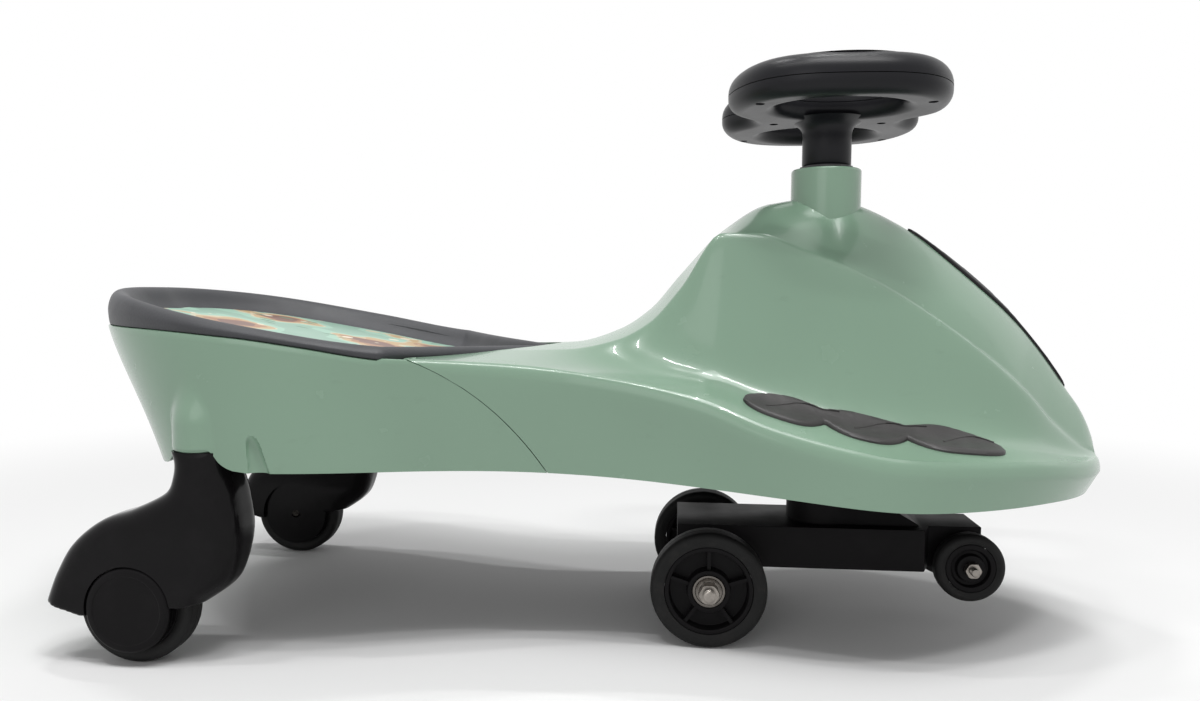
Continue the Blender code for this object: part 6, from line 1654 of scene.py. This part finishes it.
def floor_paper():
    """Pale paper that turns plain white away from the car, where the camera sees it."""
    s = Surface("floor_paper", (0.86, 0.86, 0.86), 0.9, shine=0.1)
    distance = out(s.tree, "ShaderNodeVectorMath", "Value", {0: s.place}, operation="LENGTH")
    inputs = {"From Min": 0.45, "From Max": 1.25, "Value": distance}
    fade = out(s.tree, "ShaderNodeMapRange", "Result", inputs, interpolation_type="SMOOTHSTEP")
    share = s.sum("MULTIPLY", fade, seen_directly(s.tree))
    glow = out(s.tree, "ShaderNodeEmission", "Emission", {"Color": (1, 1, 1, 1)})
    shader = out(s.tree, "ShaderNodeMixShader", "Shader", {0: share, 1: s.shader.outputs["BSDF"], 2: glow})
    s.tree.links.new(shader, s.tree.nodes["Material Output"].inputs["Surface"])
    return s.material


def studio_air():
    """Soft light from everywhere, and plain white where the camera sees it."""
    world = bpy.data.worlds.new("studio_air")
    world.use_nodes = True
    tree = world.node_tree
    tree.nodes.clear()
    soft, white = (
        out(tree, "ShaderNodeBackground", "Background", {"Color": (1, 1, 1, 1), "Strength": strength})
        for strength in (0.35, 1.0)
    )
    shader = out(tree, "ShaderNodeMixShader", "Shader", {0: seen_directly(tree), 1: soft, 2: white})
    tree.links.new(shader, tree.nodes.new("ShaderNodeOutputWorld").inputs["Surface"])
    return world


# Lamps with their places, the points they face, their sizes and their power in watts
LAMPS = [
    ("key_lamp", (0.40, -0.60, 2.10), (0.05, 0.0, 0.15), (0.9, 0.9), 16.0),
    ("fill_lamp", (-0.60, -1.80, 0.80), (0.0, 0.0, 0.15), (1.0, 1.0), 3.2),
    ("front_lamp", (1.70, 0.60, 1.10), (0.1, 0.0, 0.15), (0.8, 0.8), 0.8),
]
CEILING_LAMPS = ((-0.75, -0.55), (-0.30, -0.85), (0.15, -0.60), (0.60, -0.80), (0.30, 0.30), (-0.40, 0.25))

# The camera's place, its yaw, pitch and roll in degrees, and its focal length in picture widths
CAMERA_PLACE, CAMERA_ANGLES, CAMERA_REACH = (0.0554, -0.6561, 0.2434), (4.91, 3.86, -0.32), 870 / 1200


def make_stage():
    """The pale floor, the soft lights, the white background and the camera."""
    scene = bpy.context.scene
    bm = bmesh.new()
    bmesh.ops.create_grid(bm, x_segments=1, y_segments=1, size=12.0)
    bmesh.ops.translate(bm, vec=(0, 0, -0.0002), verts=bm.verts)
    floor = from_bmesh("studio_floor", bm)
    floor.data.materials.append(floor_paper())
    scene.world = studio_air()

    strips = [
        (f"ceiling_lamp_{k}", (x, y, 1.90), (x, y, 0.0), (0.30, 0.04), 4.2)
        for k, (x, y) in enumerate(CEILING_LAMPS)
    ]
    for name, place, target, size, power in LAMPS + strips:
        light = bpy.data.lights.new(name, "AREA")
        light.shape = "RECTANGLE"
        light.size, light.size_y = size
        light.energy = power
        lamp = link(name, light)
        lamp.location = place
        lamp.rotation_euler = (Vector(place) - Vector(target)).to_track_quat("Z", "Y").to_euler()

    yaw, pitch, roll = (radians(angle) for angle in CAMERA_ANGLES)
    turn = Matrix.Rotation(yaw, 4, "Z") @ Matrix.Rotation(pi / 2 - pitch, 4, "X")
    lens = bpy.data.cameras.new("photo_camera")
    lens.sensor_width = 36
    lens.lens = CAMERA_REACH * lens.sensor_width
    lens.clip_start = 0.02
    scene.camera = link("photo_camera", lens)
    scene.camera.matrix_world = Matrix.Translation(CAMERA_PLACE) @ turn @ Matrix.Rotation(-roll, 4, "Z")
    scene.view_settings.view_transform = "Standard"


class SWINGCAR_OT_body(bpy.types.Operator):
    """Build both body shells and what lies on the front one: foot pads and nose strip"""

    bl_idname = "swing_car.body"
    bl_label = "Build Body"

    def execute(self, context):
        front = make_front_body()
        make_rear_body()
        find = skin_finder(front)
        make_foot_pads(find)
        make_nose_strip(find)
        return {"FINISHED"}


class SWINGCAR_OT_seat(bpy.types.Operator):
    """Build the seat tray and its printed inset"""

    bl_idname = "swing_car.seat"
    bl_label = "Build Seat"

    def execute(self, context):
        make_seat_tray()
        make_seat_inset()
        return {"FINISHED"}


class SWINGCAR_OT_steering_wheel(bpy.types.Operator):
    """Build the steering wheel, its sleeve and its screws"""

    bl_idname = "swing_car.steering_wheel"
    bl_label = "Build Steering Wheel"

    def execute(self, context):
        make_steering_wheel()
        return {"FINISHED"}


class SWINGCAR_OT_truck(bpy.types.Operator):
    """Build the front truck with its road wheels, rollers, bearings, axles and nuts"""

    bl_idname = "swing_car.truck"
    bl_label = "Build Front Truck"

    def execute(self, context):
        make_truck()
        make_front_wheels()
        make_rollers()
        return {"FINISHED"}


class SWINGCAR_OT_casters(bpy.types.Operator):
    """Build both rear casters"""

    bl_idname = "swing_car.casters"
    bl_label = "Build Casters"

    def execute(self, context):
        make_casters()
        return {"FINISHED"}


class SWINGCAR_OT_fasteners(bpy.types.Operator):
    """Build the belly pans' screws and repaint the CAD nodes that keep their shape"""

    bl_idname = "swing_car.fasteners"
    bl_label = "Build Fasteners"

    def execute(self, context):
        make_pan_screws()
        repaint_carried_nodes()
        return {"FINISHED"}


class SWINGCAR_OT_stage(bpy.types.Operator):
    """Set the floor, the lights, the background and the camera"""

    bl_idname = "swing_car.stage"
    bl_label = "Build Stage"

    def execute(self, context):
        make_stage()
        return {"FINISHED"}


class SWINGCAR_PT_panel(bpy.types.Panel):
    """The sidebar panel that lists the car's operators, sizes and colours"""

    bl_idname = "SWINGCAR_PT_panel"
    bl_label = "Swing Car"
    bl_space_type = "VIEW_3D"
    bl_region_type = "UI"
    bl_category = "Swing Car"

    def draw(self, context):
        column = self.layout.column(align=True)
        for operator in OPERATORS:
            column.operator(operator.bl_idname)
        for label, group in (("Sizes", sizes()), ("Colours", colours())):
            column = self.layout.column(align=True)
            column.label(text=label)
            for name in group.__annotations__:
                column.prop(group, name)


OPERATORS = (
    SWINGCAR_OT_body,
    SWINGCAR_OT_seat,
    SWINGCAR_OT_steering_wheel,
    SWINGCAR_OT_truck,
    SWINGCAR_OT_casters,
    SWINGCAR_OT_fasteners,
    SWINGCAR_OT_stage,
)
CLASSES = (CarSizes, CarColours, *OPERATORS, SWINGCAR_PT_panel)


def register():
    """Add the classes and the scene's settings."""
    for cls in CLASSES:
        bpy.utils.register_class(cls)
    bpy.types.Scene.swing_car_sizes = bpy.props.PointerProperty(type=CarSizes)
    bpy.types.Scene.swing_car_colours = bpy.props.PointerProperty(type=CarColours)


def unregister():
    """Remove them again."""
    del bpy.types.Scene.swing_car_colours
    del bpy.types.Scene.swing_car_sizes
    for cls in reversed(CLASSES):
        bpy.utils.unregister_class(cls)


def main():
    """Build every piece."""
    register()
    for operator in OPERATORS:
        group, name = operator.bl_idname.split(".")
        getattr(getattr(bpy.ops, group), name)()


if __name__ == "__main__":
    main()
